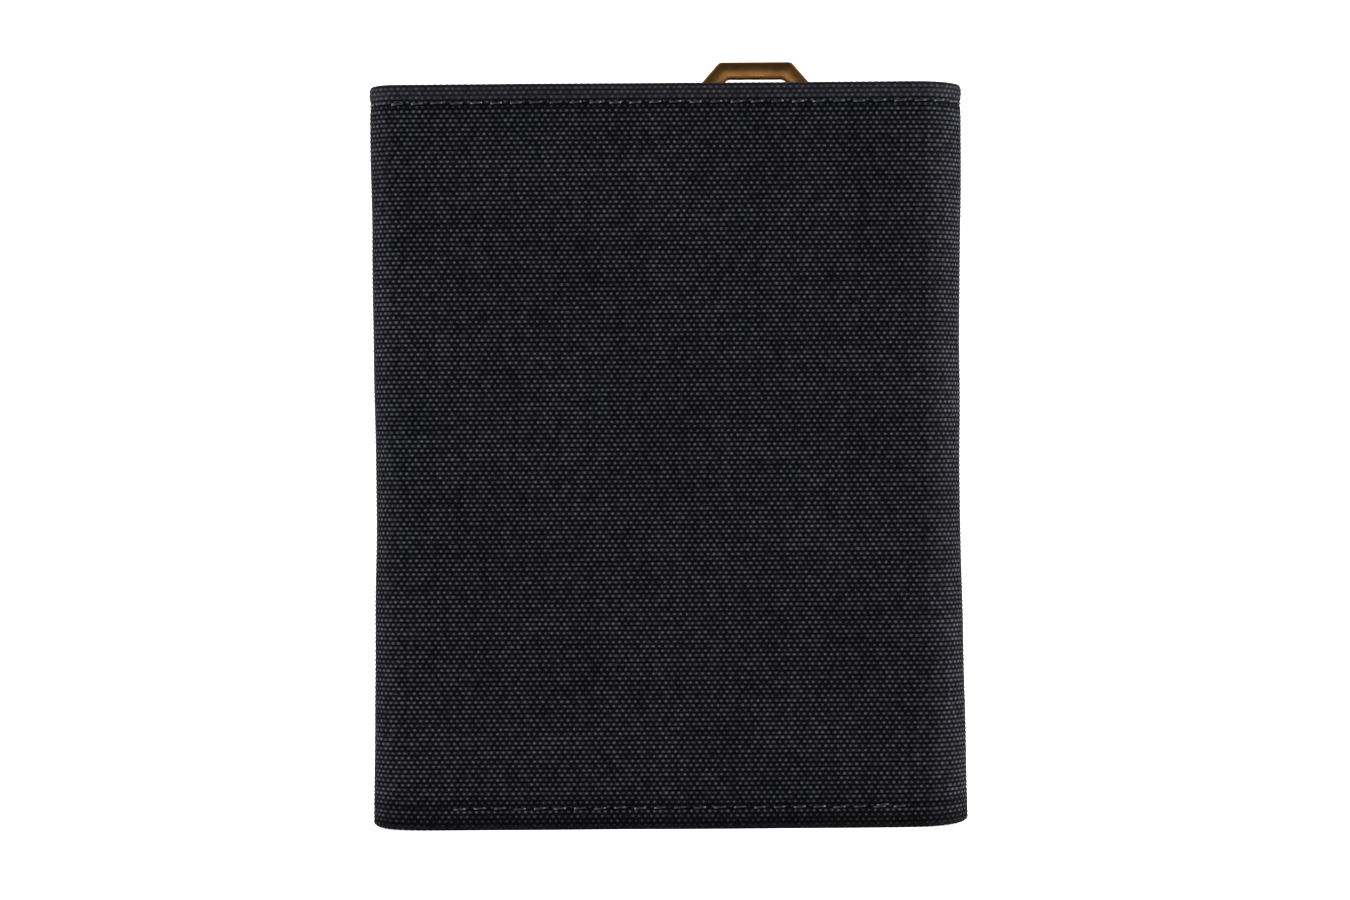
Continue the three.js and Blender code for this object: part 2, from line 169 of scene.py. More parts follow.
def folded_strip():
    """From the wrapped edge of the inner flap, round by the back, to the wrapped edge of the outer flap."""
    inner_turn, outer_turn = INNER_END - WRAP_RADIUS, OUTER_END + WRAP_RADIUS
    left, right = LEFT + INNER_RADIUS, RIGHT - OUTER_RADIUS
    path = Path((inner_turn - WRAP_RETURN, INNER_Y - 2 * WRAP_RADIUS))
    path.line(WRAP_RETURN, "inner_edge").arc(WRAP_RADIUS, 2, "inner_flap")
    path.line(inner_turn - left, "inner_flap_fold").arc(INNER_RADIUS, 1, "inner_spine")
    path.line(INNER_Y - BACK_Y - 2 * INNER_RADIUS, "inner_fold").arc(INNER_RADIUS, 1, "back")
    path.line(right - left, "outer_fold").arc(OUTER_RADIUS, 1, "outer_spine")
    path.line(OUTER_Y - BACK_Y - 2 * OUTER_RADIUS, "outer_flap_fold").arc(OUTER_RADIUS, 1, "outer_flap")
    path.line(right - outer_turn, "outer_edge").arc(WRAP_RADIUS, 2, "outer_return")
    return path.line(WRAP_RETURN, "end")


strip = folded_strip()
S = strip.marks
INNER_SPINE_MID = (S["inner_spine"] + S["inner_fold"]) / 2
OUTER_SPINE_MID = (S["outer_spine"] + S["outer_flap_fold"]) / 2


def on_back(x):
    """Length along the strip of a place on the back."""
    return S["back"] + x - (LEFT + INNER_RADIUS)


def on_outer_flap(x):
    return S["outer_flap"] + (RIGHT - OUTER_RADIUS) - x


def hump(value, width):
    return np.exp(-(value / width) ** 2)


def smooth(value):
    value = np.clip(value, 0, 1)
    return value * value * (3 - 2 * value)


# The bottom seams on the back and on both flaps, as stretches along the strip
BACK_SEAM = on_back(BACK_SEAM_X[0]), on_back(BACK_SEAM_X[1])
INNER_SEAM = S["inner_flap"] + 3, S["inner_flap_fold"] - 2
OUTER_SEAM = S["outer_flap"] + 3, S["outer_edge"] - 3
SEAM_FADE = 2.0

# Slack at the folds: how wide it reaches along the strip, how deep at the waist, and the flare below
INNER_REACH, OUTER_REACH = 11, 14
INNER_SLACK, INNER_WAIST, OUTER_WAIST = 0.2, 0.6, 0.5
FLARE, FLARE_HEIGHT = 0.55, 22
EDGE_LIFT, EDGE_LIFT_HEIGHT = 0.55, 14
EDGE_REACH = 9, 12
# Waves over the panels: height, length along the strip, length upwards, and where they start
WAVES = (0.10, 10.7, 14.5, 1.3), (0.07, 4.9, -7.5, 0.4)
PUCKER = 0.05
# Round a seam, as height and half width: the groove, the hollow, a needle's dimple, and the puff beside it
GROOVE, HOLLOW, DIMPLE, PUFF = (0.15, 0.5), (0.10, 1.7), (0.16, 0.35), (0.09, 1.0)
PUFF_AWAY = 1.9


def rise(value, height, width):
    return height * hump(value, width)


def body_shape(s, z):
    """How far the cloth stands out of the plain strip: a slack waist at the folds, a little flare below,
    shallow waves over the panels, and the seams pulled in. s is a column and z a row of lengths."""
    inner, outer = hump(s - INNER_SPINE_MID, INNER_REACH), hump(s - OUTER_SPINE_MID, OUTER_REACH)
    waist = np.sin(np.pi * np.clip(z / HEIGHT, 0, 1)) ** 1.5
    out = outer * (rise(z, FLARE, FLARE_HEIGHT) - OUTER_WAIST * waist)
    out = out - inner * (INNER_SLACK + INNER_WAIST * waist)
    for height, along, up, start in WAVES:
        out = out + height * np.sin(s / along + z / up + start)
    out = out + PUCKER * np.sin(s / 2.3 + z / 19.0) * np.sin(z / 3.9)
    needle = (0.5 + 0.5 * np.cos(2 * np.pi * s / STITCH)) ** 6
    seams_below = BACK_SEAM, INNER_SEAM, OUTER_SEAM
    below = sum(smooth((s - a) / SEAM_FADE) * smooth((b - s) / SEAM_FADE) for a, b in seams_below)
    for seam, share, side in ((TOP_SEAM, np.ones_like(s), 1), (BOTTOM_SEAM, below, -1)):
        away = z - seam
        pull = rise(away, *GROOVE) + rise(away, *HOLLOW) + needle * rise(away, *DIMPLE)
        out = out + share * (rise(away - side * PUFF_AWAY, *PUFF) - pull)
    return out


def edge_lift(s, z):
    """The bottom edge rises a little round the folds."""
    fold = hump(s - INNER_SPINE_MID, EDGE_REACH[0]) + hump(s - OUTER_SPINE_MID, EDGE_REACH[1])
    return EDGE_LIFT * fold * smooth((EDGE_LIFT_HEIGHT - z) / EDGE_LIFT_HEIGHT)


# ---- plain weave
WEFTS, WARPS, FLOATS = 700, 1400, 400
weft_tone = rng.uniform(0.95, 1.05, WEFTS)
warp_tone = rng.uniform(0.95, 1.05, WARPS)
weft_rise = rng.uniform(0.85, 1.15, WEFTS)
float_tone = rng.uniform(0.62, 1.22, (WEFTS, FLOATS))
FLOAT_TOP, FLOAT_UNDER, WEFT_SIDE, WARP_SIDE, HOLE = 1.0, 0.15, 0.45, -0.1, -0.75
# Painted shade in the seam grooves, and below the bottom seam where the cloth turns under: how much darker, how
# far off the seam, and how wide
SEAM_SHADE, SEAM_SHADE_AWAY, SEAM_SHADE_WIDTH = 0.45, 0.4, 0.55
TURN_SHADE, TURN_SHADE_AWAY, TURN_SHADE_WIDTH = 0.4, 0.6, 2.0
# Height over which the top hem above the top seam is painted lighter and flatter, as if lit from above
TOP_LIGHT_HEIGHT = 1.2
# Painted highlight round the folds, where the stretched cloth catches the light: how far from the middle of a
# spine it is full, and where it ends
INNER_STRETCH, OUTER_STRETCH = (3.5, 13.5), (5.1, 22.1)


def weave(column, row):
    """Height of the cloth at half-pitch places, and the tone of the yarns there. column and row are whole
    numbers, even ones along the middle of a yarn."""
    column, row = np.broadcast_arrays(column, row)
    on_warp, on_weft = column % 2 == 0, row % 2 == 0
    weft_over = (column // 2 + row // 2) % 2 == 0
    crossing = on_warp & on_weft
    places = crossing & weft_over, crossing, on_weft, on_warp
    height = np.select(places, (FLOAT_TOP, FLOAT_UNDER, WEFT_SIDE, WARP_SIDE), HOLE)
    wefts, warps = (row // 2) % WEFTS, (column // 2) % WARPS
    single = float_tone[wefts, warps % FLOATS]
    return height * weft_rise[wefts], weft_tone[wefts] * warp_tone[warps] * single


def stretch(away, full, end):
    return smooth((end - np.abs(away)) / (end - full))


def yarn_tone_and_painted_light(s, z, tone):
    """What the canvas shader reads: tone of the yarns, a painted highlight along the top hem, and a painted
    highlight round the folds where the stretched cloth catches the light. Painted shade darkens the tone in
    the seams, and below the bottom seam where the cloth turns under."""
    for middle in (TOP_SEAM - SEAM_SHADE_AWAY, BOTTOM_SEAM + SEAM_SHADE_AWAY):
        tone = tone * (1 - rise(z - middle, SEAM_SHADE, SEAM_SHADE_WIDTH))
    tone = tone * (1 - TURN_SHADE * smooth((BOTTOM_SEAM - TURN_SHADE_AWAY - z) / TURN_SHADE_WIDTH))
    painted_highlight = smooth((z - TOP_SEAM) / TOP_LIGHT_HEIGHT)
    fold_highlight = stretch(s - INNER_SPINE_MID, *INNER_STRETCH) + stretch(s - OUTER_SPINE_MID, *OUTER_STRETCH)
    return np.stack(np.broadcast_arrays(tone, painted_highlight, fold_highlight), -1).reshape(-1, 3)


# ---- meshes
def mesh_object(name, points, faces, material, attributes=None):
    """points are in millimetres. faces say the places of their corners in the order of the points."""
    mesh = bpy.data.meshes.new(name)
    mesh.from_pydata(np.asarray(points, float).reshape(-1, 3) * MM, [], faces)
    for key, values in (attributes or {}).items():
        kind = "FLOAT" if np.ndim(values) == 1 else "FLOAT_VECTOR"
        field = "value" if kind == "FLOAT" else "vector"
        layer = mesh.attributes.new(key, kind, "POINT")
        layer.data.foreach_set(field, np.asarray(values, np.float32).ravel())
    mesh.polygons.foreach_set("use_smooth", np.ones(len(mesh.polygons), bool))
    made = bpy.data.objects.new(name, mesh)
    bpy.context.scene.collection.objects.link(made)
    mesh.materials.append(material)
    return made


def grid_quads(columns, rows, closed=True):
    """Quads of a grid whose rows may close into a loop, wound so that columns x rows face out."""
    i = np.arange(columns - 1)[:, None]
    j = np.arange(rows if closed else rows - 1)[None, :]
    k = (j + 1) % rows
    quads = np.stack([i * rows + j, (i + 1) * rows + j, (i + 1) * rows + k, i * rows + k], -1)
    return quads.reshape(-1, 4)


TURN_STEPS = 8
INSIDE_ROWS = 12


def strip_points(s, z, depth, up=0.0):
    """Points over columns of s and rows of z, at a depth into the strip and lifted by up."""
    point, inward = strip.at(s)
    xy = point[:, None, :] + inward[:, None, :] * depth[..., None]
    tall = z[None, :] + up + edge_lift(s[:, None], z[None, :])
    return np.concatenate([xy, tall[..., None]], -1)


def profile_part(depth, z, out_depth, out_z, relief):
    return np.stack(np.broadcast_arrays(depth, z, out_depth, out_z, relief))


def edge_turn(centre, begin):
    """Half a turn of the cloth about a line at a height, from one side to the other."""
    angle = np.linspace(begin, begin + np.pi, TURN_STEPS)[1:-1]
    depth, z = TURN_RADIUS * (1 - np.cos(angle)), centre + TURN_RADIUS * np.sin(angle)
    return profile_part(depth, z, -np.cos(angle), np.sin(angle), 1.0)


def turned_profile(z_low, z_high):
    """Round a piece of canvas with both long edges turned in: depth, height, yarn row, which way the
    weave stands up, and how much of it shows."""
    first = int(np.ceil((z_low + TURN_RADIUS) / ROW))
    last = int(np.floor((z_high - TURN_RADIUS) / ROW))
    upper_turn, lower_turn = z_high - TURN_RADIUS, z_low + TURN_RADIUS
    upper_hem = np.arange(upper_turn, z_high - HEM_DEPTH, -ROW)
    lower_hem = np.arange(z_low + HEM_DEPTH, lower_turn, -ROW)
    inside = np.linspace(upper_hem[-1], z_low + HEM_DEPTH, INSIDE_ROWS)[:-1]
    parts = [
        profile_part(0.0, np.arange(first, last + 1) * ROW, -1, 0, 1),
        edge_turn(upper_turn, 0),
        profile_part(2 * TURN_RADIUS, upper_hem, 1, 0, 1),
        profile_part(CANVAS_THICK, np.append(inside, lower_hem[0]), 1, 0, 0),
        profile_part(2 * TURN_RADIUS, lower_hem, 1, 0, 1),
        edge_turn(lower_turn, np.pi),
    ]
    depth, z, out_depth, out_z, relief = np.concatenate(parts, 1)
    return depth, z, first + np.arange(len(z)), out_depth, out_z, relief


def canvas_jamb(name, s, way):
    """The turned-in edge at one end of the zip window: a half roll of canvas."""
    rows = np.arange(round(WINDOW[0] / ROW) - 2, round(WINDOW[1] / ROW) + 3)
    turn = np.linspace(0, np.pi, 9)
    columns = round(s / COLUMN) + way * np.arange(len(turn))
    height, tone = weave(columns[:, None], rows[None, :])
    reach = TURN_RADIUS + height * YARN_RELIEF
    along = s + way * reach * np.sin(turn)[:, None]
    depth = TURN_RADIUS - reach * np.cos(turn)[:, None]
    z = np.broadcast_to(rows * ROW, along.shape)
    point, inward = strip.at(along.ravel())
    depth = depth.ravel() - body_shape(np.full(along.size, s), z.ravel())
    points = np.concatenate([point + inward * depth[:, None], z.reshape(-1, 1)], 1)
    quads = grid_quads(len(turn), len(rows), closed=False)
    if way < 0:
        quads = quads[:, ::-1]
    lengths = np.broadcast_to(columns[:, None] * COLUMN, z.shape)
    cloth = np.stack([lengths.ravel(), z.ravel(), depth], 1)
    return mesh_object(name, points, quads, CANVAS, {"yarn_tone_and_painted_light": yarn_tone_and_painted_light(lengths, z, tone), "cloth": cloth})


def canvas_piece(name, s_low, s_high, z_low=0.0, z_high=HEIGHT):
    """A stretch of the canvas strip between two lengths, with its weave, as one closed sleeve of cloth."""
    columns = np.arange(round(s_low / COLUMN), round(s_high / COLUMN) + 1)
    depth, z, rows, out_depth, out_z, relief = turned_profile(z_low, z_high)
    s = columns * COLUMN
    height, tone = weave(columns[:, None], rows[None, :])
    bulge = height * relief * YARN_RELIEF
    lying = (s < S["inner_flap"] + 0.1) | (s > S["outer_edge"] - 0.1)
    deep = np.where(lying[:, None], np.minimum(depth, WRAP_RADIUS * 0.9), depth)
    deep = deep + bulge * out_depth - body_shape(s[:, None], z[None, :])
    points = strip_points(s, z, deep, bulge * out_z)
    quads = grid_quads(len(columns), len(z))
    even = ((columns[:-1, None] + rows[None, :]) % 2 == 0).ravel()
    quads[even] = np.roll(quads[even], 1, axis=1)
    cloth = np.stack(np.broadcast_arrays(s[:, None], rows * ROW, depth), -1)
    # Yarn tone with its painted shade and painted highlights, for the shader
    painted_light_tone = yarn_tone_and_painted_light(s[:, None], z[None, :], tone * relief)
    return mesh_object(name, points, quads, CANVAS, {"yarn_tone_and_painted_light": painted_light_tone, "cloth": cloth.reshape(-1, 3)})


# ---- materials
class Nodes:
    """Short calls for building a material's node tree."""

    def __init__(self, name):
        self.material = bpy.data.materials.new(name)
        self.material.use_nodes = True
        self.tree = self.material.node_tree
        self.shader = self.tree.nodes["Principled BSDF"]

    def add(self, kind, inputs=None, **settings):
        node = self.tree.nodes.new(kind)
        for key, value in settings.items():
            setattr(node, key, value)
        for key, value in (inputs or {}).items():
            self.feed(node.inputs[key], value)
        return node

    def feed(self, socket, value):
        if isinstance(value, bpy.types.Node):
            value = value.outputs[0]
        if isinstance(value, bpy.types.NodeSocket):
            self.tree.links.new(value, socket)
        else:
            socket.default_value = value

    def math(self, operation, *values):
        return self.add("ShaderNodeMath", dict(enumerate(values)), operation=operation)

    def times(self, first, second):
        return self.math("MULTIPLY", first, second)

    def fused(self, first, second, third):
        """first x second + third"""
        return self.math("MULTIPLY_ADD", first, second, third)

    def split(self, vector):
        return self.add("ShaderNodeSeparateXYZ", {0: vector}).outputs

    def attribute(self, name, output):
        return self.add("ShaderNodeAttribute", attribute_name=name).outputs[output]

    def place(self):
        return self.add("ShaderNodeTexCoord").outputs["Object"]

    def scaled(self, vector, scale):
        return self.add("ShaderNodeVectorMath", {0: vector, 1: scale}, operation="MULTIPLY")

    def noise(self, vector, scale, detail=2.0):
        inputs = {"Vector": vector, "Scale": scale, "Detail": detail}
        return self.add("ShaderNodeTexNoise", inputs).outputs["Fac"]

    def ramp(self, value, stops):
        node = self.add("ShaderNodeValToRGB", {"Fac": value})
        points = node.color_ramp.elements
        while len(points) < len(stops):
            points.new(0.5)
        for point, (place, colour) in zip(points, stops):
            point.position = place
            point.color = (*colour, 1)
        return node.outputs["Color"]

    def spread(self, value, low, high, to_low, to_high):
        inputs = {"Value": value, "From Min": low, "From Max": high, "To Min": to_low, "To Max": to_high}
        return self.add("ShaderNodeMapRange", inputs).outputs["Result"]

    def bump(self, height, distance, strength=1.0):
        inputs = {"Height": height, "Distance": distance * MM, "Strength": strength}
        return self.add("ShaderNodeBump", inputs).outputs["Normal"]

    def set(self, **inputs):
        for key, value in inputs.items():
            self.feed(self.shader.inputs[key.replace("_", " ")], value)
        return self.material


def canvas_material():
    n = Nodes("canvas_black")
    cloth = n.attribute("cloth", "Vector")
    along, up, _ = n.split(cloth)
    tone, painted_highlight, fold_highlight = n.split(n.attribute("yarn_tone_and_painted_light", "Vector"))
    along = n.math("COSINE", n.times(along, np.pi / WARP_PITCH))
    up = n.math("COSINE", n.times(up, np.pi / WEFT_PITCH))
    over = n.times(along, up)
    weft = n.math("POWER", n.math("ABSOLUTE", up), 1.25)
    # The crowns of the weave, raised by the painted highlight round the folds
    crown = n.fused(over, n.fused(over, 0.16, 0.37), n.fused(fold_highlight, 0.10, 0.41))
    yarn = n.times(n.fused(weft, crown, 0.05), tone)
    # Painted highlight along the top hem: the yarns show less contrast there and are lighter
    yarn = n.fused(yarn, n.fused(painted_highlight, -0.35, 1.0), n.times(painted_highlight, 0.20))
    fibre = n.noise(n.scaled(cloth, (1.2, 6.0, 1.0)), 2.4, 3)
    patch = n.noise(cloth, 0.045, 2)
    shade = n.times(n.spread(fibre, 0.3, 0.7, 0.72, 1.28), n.spread(patch, 0.3, 0.7, 0.86, 1.12))
    # Yarn tops lighter over near-black gaps: partly the weave's own colour, partly painted shade between the yarns
    colour = n.ramp(yarn, [(0.0, (0.0004, 0.0004, 0.0006)), (0.2, (0.0013, 0.0013, 0.0017)),
                           (0.5, (0.0115, 0.0116, 0.0145)), (1.0, (0.0415, 0.042, 0.051))])
    return n.set(Base_Color=n.scaled(colour, shade), Roughness=n.spread(yarn, 0, 1, 0.85, 0.58),
                 Normal=n.bump(fibre, 0.03, 0.6), Specular_IOR_Level=0.02)


def lining_material():
    n = Nodes("lining_black")
    place = n.place()
    x, y, z = n.split(n.scaled(place, (2600.0, 2600.0, 2600.0)))
    ribs = n.times(n.math("SINE", n.math("ADD", x, y)), n.math("SINE", z))
    creases = n.noise(place, 90.0, 3)
    height = n.math("ADD", n.times(ribs, 0.12), creases)
    colour = n.ramp(creases, [(0.3, (0.0035, 0.0035, 0.0045)), (0.7, (0.0075, 0.0075, 0.0090))])
    return n.set(Base_Color=colour, Roughness=n.spread(creases, 0.3, 0.7, 0.38, 0.55),
                 Normal=n.bump(height, 0.35, 0.5), Specular_IOR_Level=0.1)


TAPE_DARK = 0.004, 0.004, 0.005


def ribbed_material(name, axis, pitch, light, roughness):
    """Tape woven with ribs across one axis."""
    n = Nodes(name)
    place = n.place()
    turns = 2 * np.pi / (pitch * MM)
    wave = n.math("SINE", n.times(n.split(place)[axis], turns))
    speck = n.noise(place, 900.0, 2)
    colour = n.ramp(n.spread(wave, -1, 1, 0, 1), [(0.0, TAPE_DARK), (1.0, light)])
    return n.set(Base_Color=n.scaled(colour, n.spread(speck, 0.3, 0.7, 0.75, 1.25)), Roughness=roughness,
                 Normal=n.bump(wave, 0.12, 0.7), Specular_IOR_Level=0.15)


def thread_material():
    n = Nodes("thread_black")
    place = n.place()
    twist = n.math("SINE", n.times(n.noise(place, 1400.0, 1), 40.0))
    glint = n.attribute("glint", "Fac")
    shade = n.times(glint, n.spread(twist, -1, 1, 0.75, 1.25))
    colour = n.ramp(shade, [(0.0, (0.0035, 0.0036, 0.0044)), (1.0, (0.16, 0.165, 0.175))])
    return n.set(Base_Color=colour, Roughness=0.5, Normal=n.bump(twist, 0.04, 0.5), Specular_IOR_Level=0.1)


METAL_ROUGHNESS = 0.3
SCRATCH = 0.5


def metal_material(name, low, high, painted_light_tone):
    """Plated metal: patches of patina between two colours, fine scratches, an uneven gloss and a third
    colour for a painted highlight where a mesh's attribute asks for it."""
    n = Nodes(name)
    place = n.place()
    patina = n.noise(place, 260.0, 4)
    fine = n.noise(n.scaled(place, (1.0, 1.0, 6.0)), 1500.0, 2)
    both = n.math("ADD", n.times(patina, 0.7), n.times(fine, 0.3))
    painted_highlight = n.fused(n.attribute("painted_highlight", "Fac"), 0.5, n.times(both, 0.5))
    colour = n.ramp(painted_highlight, [(0.17, low), (0.33, high), (0.75, painted_light_tone)])
    return n.set(Base_Color=colour, Metallic=1.0, Normal=n.bump(fine, 0.02, SCRATCH),
                 Roughness=n.spread(both, 0.35, 0.65, METAL_ROUGHNESS + 0.12, METAL_ROUGHNESS - 0.05))


def board_material():
    n = Nodes("stiffening_board")
    speck = n.noise(n.place(), 700.0, 3)
    colour = n.ramp(speck, [(0.35, (0.10, 0.085, 0.065)), (0.65, (0.17, 0.145, 0.11))])
    return n.set(Base_Color=colour, Roughness=0.8, Normal=n.bump(speck, 0.05))


CANVAS = canvas_material()
LINING = lining_material()
BINDING = ribbed_material("grosgrain_black", 0, 0.6, (0.020, 0.020, 0.022), 0.6)
WEBBING = ribbed_material("webbing_black", 2, 1.1, (0.024, 0.024, 0.027), 0.65)
ZIP_TAPE = ribbed_material("zip_tape_black", 0, 0.45, (0.015, 0.015, 0.017), 0.7)
THREAD = thread_material()
BOARD = board_material()
# Each metal's third colour is a painted highlight
BRASS = metal_material("antique_brass", (0.060, 0.027, 0.008), (0.135, 0.066, 0.022), (0.42, 0.19, 0.062))
GUNMETAL = metal_material("gunmetal", (0.035, 0.032, 0.030), (0.085, 0.080, 0.075), (0.2, 0.19, 0.18))
NYLON = Nodes("zip_nylon").set(Base_Color=(0.012, 0.012, 0.013, 1), Roughness=0.38)

NODE_MATERIALS = {"canvas": CANVAS, "lining": LINING, "board": BOARD, "binding_tape": BINDING,
                  "webbing": WEBBING, "zip_tape": ZIP_TAPE, "zip_coil": NYLON, "gunmetal": GUNMETAL,
                  "antique_brass": BRASS}
for part in frame["record"]["subparts"]:
    node = frame["nodes"][part["node"]]
    node.data.materials.clear()
    node.data.materials.append(NODE_MATERIALS[part["material_slot"]])


# ---- joining pieces to bodies
def fold_limit(s, depth):
    point, inward = strip.at(np.array([s]))
    x, y = point[0] + inward[0] * depth
    return (x * MM, y * MM, HEIGHT / 2 * MM)


# For each fold: the two bodies it joins, and the marks on the strip between which the cloth bends
CROSSINGS = {
    "inner_flap": ("inner_flap", "inner_spine", "inner_flap_fold", "inner_spine"),
    "left": ("inner_spine", "back", "inner_fold", "back"),
    "right": ("back", "outer_spine", "outer_fold", "outer_spine"),
    "outer_flap": ("outer_spine", "outer_flap", "outer_flap_fold", "outer_flap"),
}


def cross(piece, fold, depth=0.0, reach=0.0):
    """Bakes the piece's place into its mesh. The fold's two bodies, and the places where the cloth bends round
    its rounded corner and a reach beyond it on the panel, are worked out and passed on but not used. depth is
    that of the piece's inner face."""
    first, second, start, end = CROSSINGS[fold]
    start = S[start] - (reach if "spine" not in first else 0)
    end = S[end] + (reach if "spine" not in second else 0)
    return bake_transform(piece, first, second, start=fold_limit(start, depth), end=fold_limit(end, depth))


def stand_for(fold, layer):
    """The piece replaces a layer's CAD nodes on both sides of a fold."""
    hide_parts(*(f"{body}_{layer}" for body in CROSSINGS[fold][:2]))


def riding(piece, body, slot, *nodes):
    """The piece rides on one body and replaces any CAD nodes that are named. slot is not used."""
    if nodes:
        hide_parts(*nodes)
    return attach(piece, body)


def make_canvas():
    right, left = on_outer_flap(WINDOW_X[1] + TURN_RADIUS), on_outer_flap(WINDOW_X[0] - TURN_RADIUS)
    for side, s, way in (("right", right, 1), ("left", left, -1)):
        riding(canvas_jamb(f"canvas_window_{side}", s, way), "outer_flap", "canvas")
    over_folds = (("inner_flap", 0, INNER_SPINE_MID, "inner_flap"),
                  ("back_left", INNER_SPINE_MID, on_back(0), "left"),
                  ("back_right", on_back(0), OUTER_SPINE_MID, "right"),
                  ("outer_fold", OUTER_SPINE_MID, right, "outer_flap"))
    for name, low, high, fold in over_folds:
        piece = canvas_piece(f"canvas_{name}", low, high)
        stand_for(fold, "canvas")
        cross(piece, fold)
    for piece in (canvas_piece("canvas_below_zip", right, left, z_high=WINDOW[0]),
                  canvas_piece("canvas_above_zip", right, left, z_low=WINDOW[1]),
                  canvas_piece("canvas_outer_edge", left, strip.length)):
        riding(piece, "outer_flap", "canvas", "outer_flap_canvas")


# ---- general solids
WELD = 0.002


def double_sheet(name, front, back, material):
    """A closed sheet between two grids of points. Columns x rows face out of the front."""
    columns, rows = front.shape[:2]
    size = columns * rows
    index = np.arange(size).reshape(columns, rows)
    face = grid_quads(columns, rows, closed=False)
    quads = [face, face[:, ::-1] + size]
    rim = np.concatenate([index[:, 0], index[-1, 1:], index[-2::-1, -1], index[0, -2:0:-1]])
    after = np.roll(rim, -1)
    quads.append(np.stack([after, rim, rim + size, after + size], 1))
    points = np.concatenate([front.reshape(-1, 3), back.reshape(-1, 3)])
    return mesh_object(name, points, np.concatenate(quads), material)


def grid_points(x, y, z):
    """Points over columns of x and rows of z."""
    return np.stack(np.broadcast_arrays(x[:, None], y, z[None, :]), -1)


def closed_tube(name, rings, material):
    """A tube through rings of points [count, around, 3], with its two ends filled flat."""
    count, around = rings.shape[:2]
    faces = [tuple(q) for q in grid_quads(count, around)]
    faces.append(tuple(range(around))[::-1])
    faces.append(tuple(range((count - 1) * around, count * around)))
    made = mesh_object(name, rings, faces, material)
    for polygon in made.data.polygons[-2:]:
        polygon.use_smooth = False
    return made


def welded(piece):
    weld = piece.modifiers.new("weld", "WELD")
    weld.merge_threshold = WELD * MM
    return piece


LATHE_STEPS = 64
PLATE_BEVEL_STEPS = 3


def lathe(name, profile, x, z, material):
    """Turned about a line along Y. The profile is (radius, y) pairs that end on the axis or close up."""
    angles = np.linspace(0, 2 * np.pi, LATHE_STEPS, endpoint=False)
    radius, y = np.array(profile, float).T[:, :, None]
    rings = np.stack(np.broadcast_arrays(x + radius * np.cos(angles), y, z + radius * np.sin(angles)), -1)
    quads = grid_quads(len(profile), LATHE_STEPS)[:, ::-1]
    return welded(mesh_object(name, rings, quads, material))


def plate(name, loops, y, thickness, bevel, material):
    """A flat plate from outlines in X and Z, the first round the outside and the rest round holes."""
    curve = bpy.data.curves.new(name, "CURVE")
    curve.dimensions = "2D"
    curve.fill_mode = "BOTH"
    curve.extrude = (thickness / 2 - bevel) * MM
    curve.bevel_depth = bevel * MM
    curve.bevel_resolution = PLATE_BEVEL_STEPS
    curve.offset = -bevel * MM
    for loop in loops:
        spline = curve.splines.new("POLY")
        spline.points.add(len(loop) - 1)
        for point, (px, pz) in zip(spline.points, loop):
            point.co = (px * MM, pz * MM, 0, 1)
        spline.use_cyclic_u = True
    holder = bpy.data.objects.new(name, curve)
    bpy.context.scene.collection.objects.link(holder)
    mesh = bpy.data.meshes.new_from_object(holder.evaluated_get(bpy.context.evaluated_depsgraph_get()))
    bpy.data.objects.remove(holder)
    count = len(mesh.vertices)
    flat = np.zeros(count * 3, np.float32)
    mesh.vertices.foreach_get("co", flat)
    flat = flat.reshape(-1, 3)
    turned = np.stack([flat[:, 0], y * MM - flat[:, 2], flat[:, 1]], 1)
    mesh.vertices.foreach_set("co", turned.ravel())
    mesh.materials.clear()
    mesh.materials.append(material)
    made = bpy.data.objects.new(name, mesh)
    bpy.context.scene.collection.objects.link(made)
    return welded(made)


def rounded(loop, radius, steps=6):
    """An outline with each corner turned into an arc of about the given radius."""
    loop = np.array(loop, float)
    out = []
    for before, here, after in zip(np.roll(loop, 1, 0), loop, np.roll(loop, -1, 0)):
        a, b = before - here, after - here
        la, lb = np.linalg.norm(a), np.linalg.norm(b)
        cut = min(radius, la * 0.45, lb * 0.45)
        start, end = here + a / la * cut, here + b / lb * cut
        for t in np.linspace(0, 1, steps):
            out.append((1 - t) ** 2 * start + 2 * t * (1 - t) * here + t ** 2 * end)
    return np.array(out)


def rectangle(x_low, z_low, x_high, z_high):
    return [(x_low, z_low), (x_high, z_low), (x_high, z_high), (x_low, z_high)]


def mirrored(half_loop):
    """An outline from its half below the middle of the zip, as (x, height from there) pairs."""
    below = [(x, ZIP_Z - up) for x, up in half_loop]
    return below + [(x, ZIP_Z + up) for x, up in half_loop[::-1]]


def circle(x, z, radius, steps=24):
    angles = np.linspace(0, 2 * np.pi, steps, endpoint=False)
    return np.stack([x + radius * np.cos(angles), z + radius * np.sin(angles)], 1)


def side_of(route):
    """Unit normals on the left of a line of points in a plane."""
    way = np.gradient(route, axis=0)
    way /= np.linalg.norm(way, axis=1)[:, None]
    return np.stack([-way[:, 1], way[:, 0]], 1)


def rod_through(name, points, radius, material):
    """A round rod along a line of points, closed at both ends."""
    along = np.gradient(points, axis=0)
    along /= np.linalg.norm(along, axis=1)[:, None]
    helper = np.where(np.abs(along[:, 1:2]) > 0.9, (1.0, 0, 0), (0, 1.0, 0))
    side = np.cross(along, helper)
    side /= np.linalg.norm(side, axis=1)[:, None]
    other = np.cross(side, along)
    angles = np.linspace(0, 2 * np.pi, COIL_SIDES, endpoint=False)
    rings = (points[:, None] + radius * (np.cos(angles)[None, :, None] * side[:, None]
             + np.sin(angles)[None, :, None] * other[:, None]))
    return closed_tube(name, rings, material)


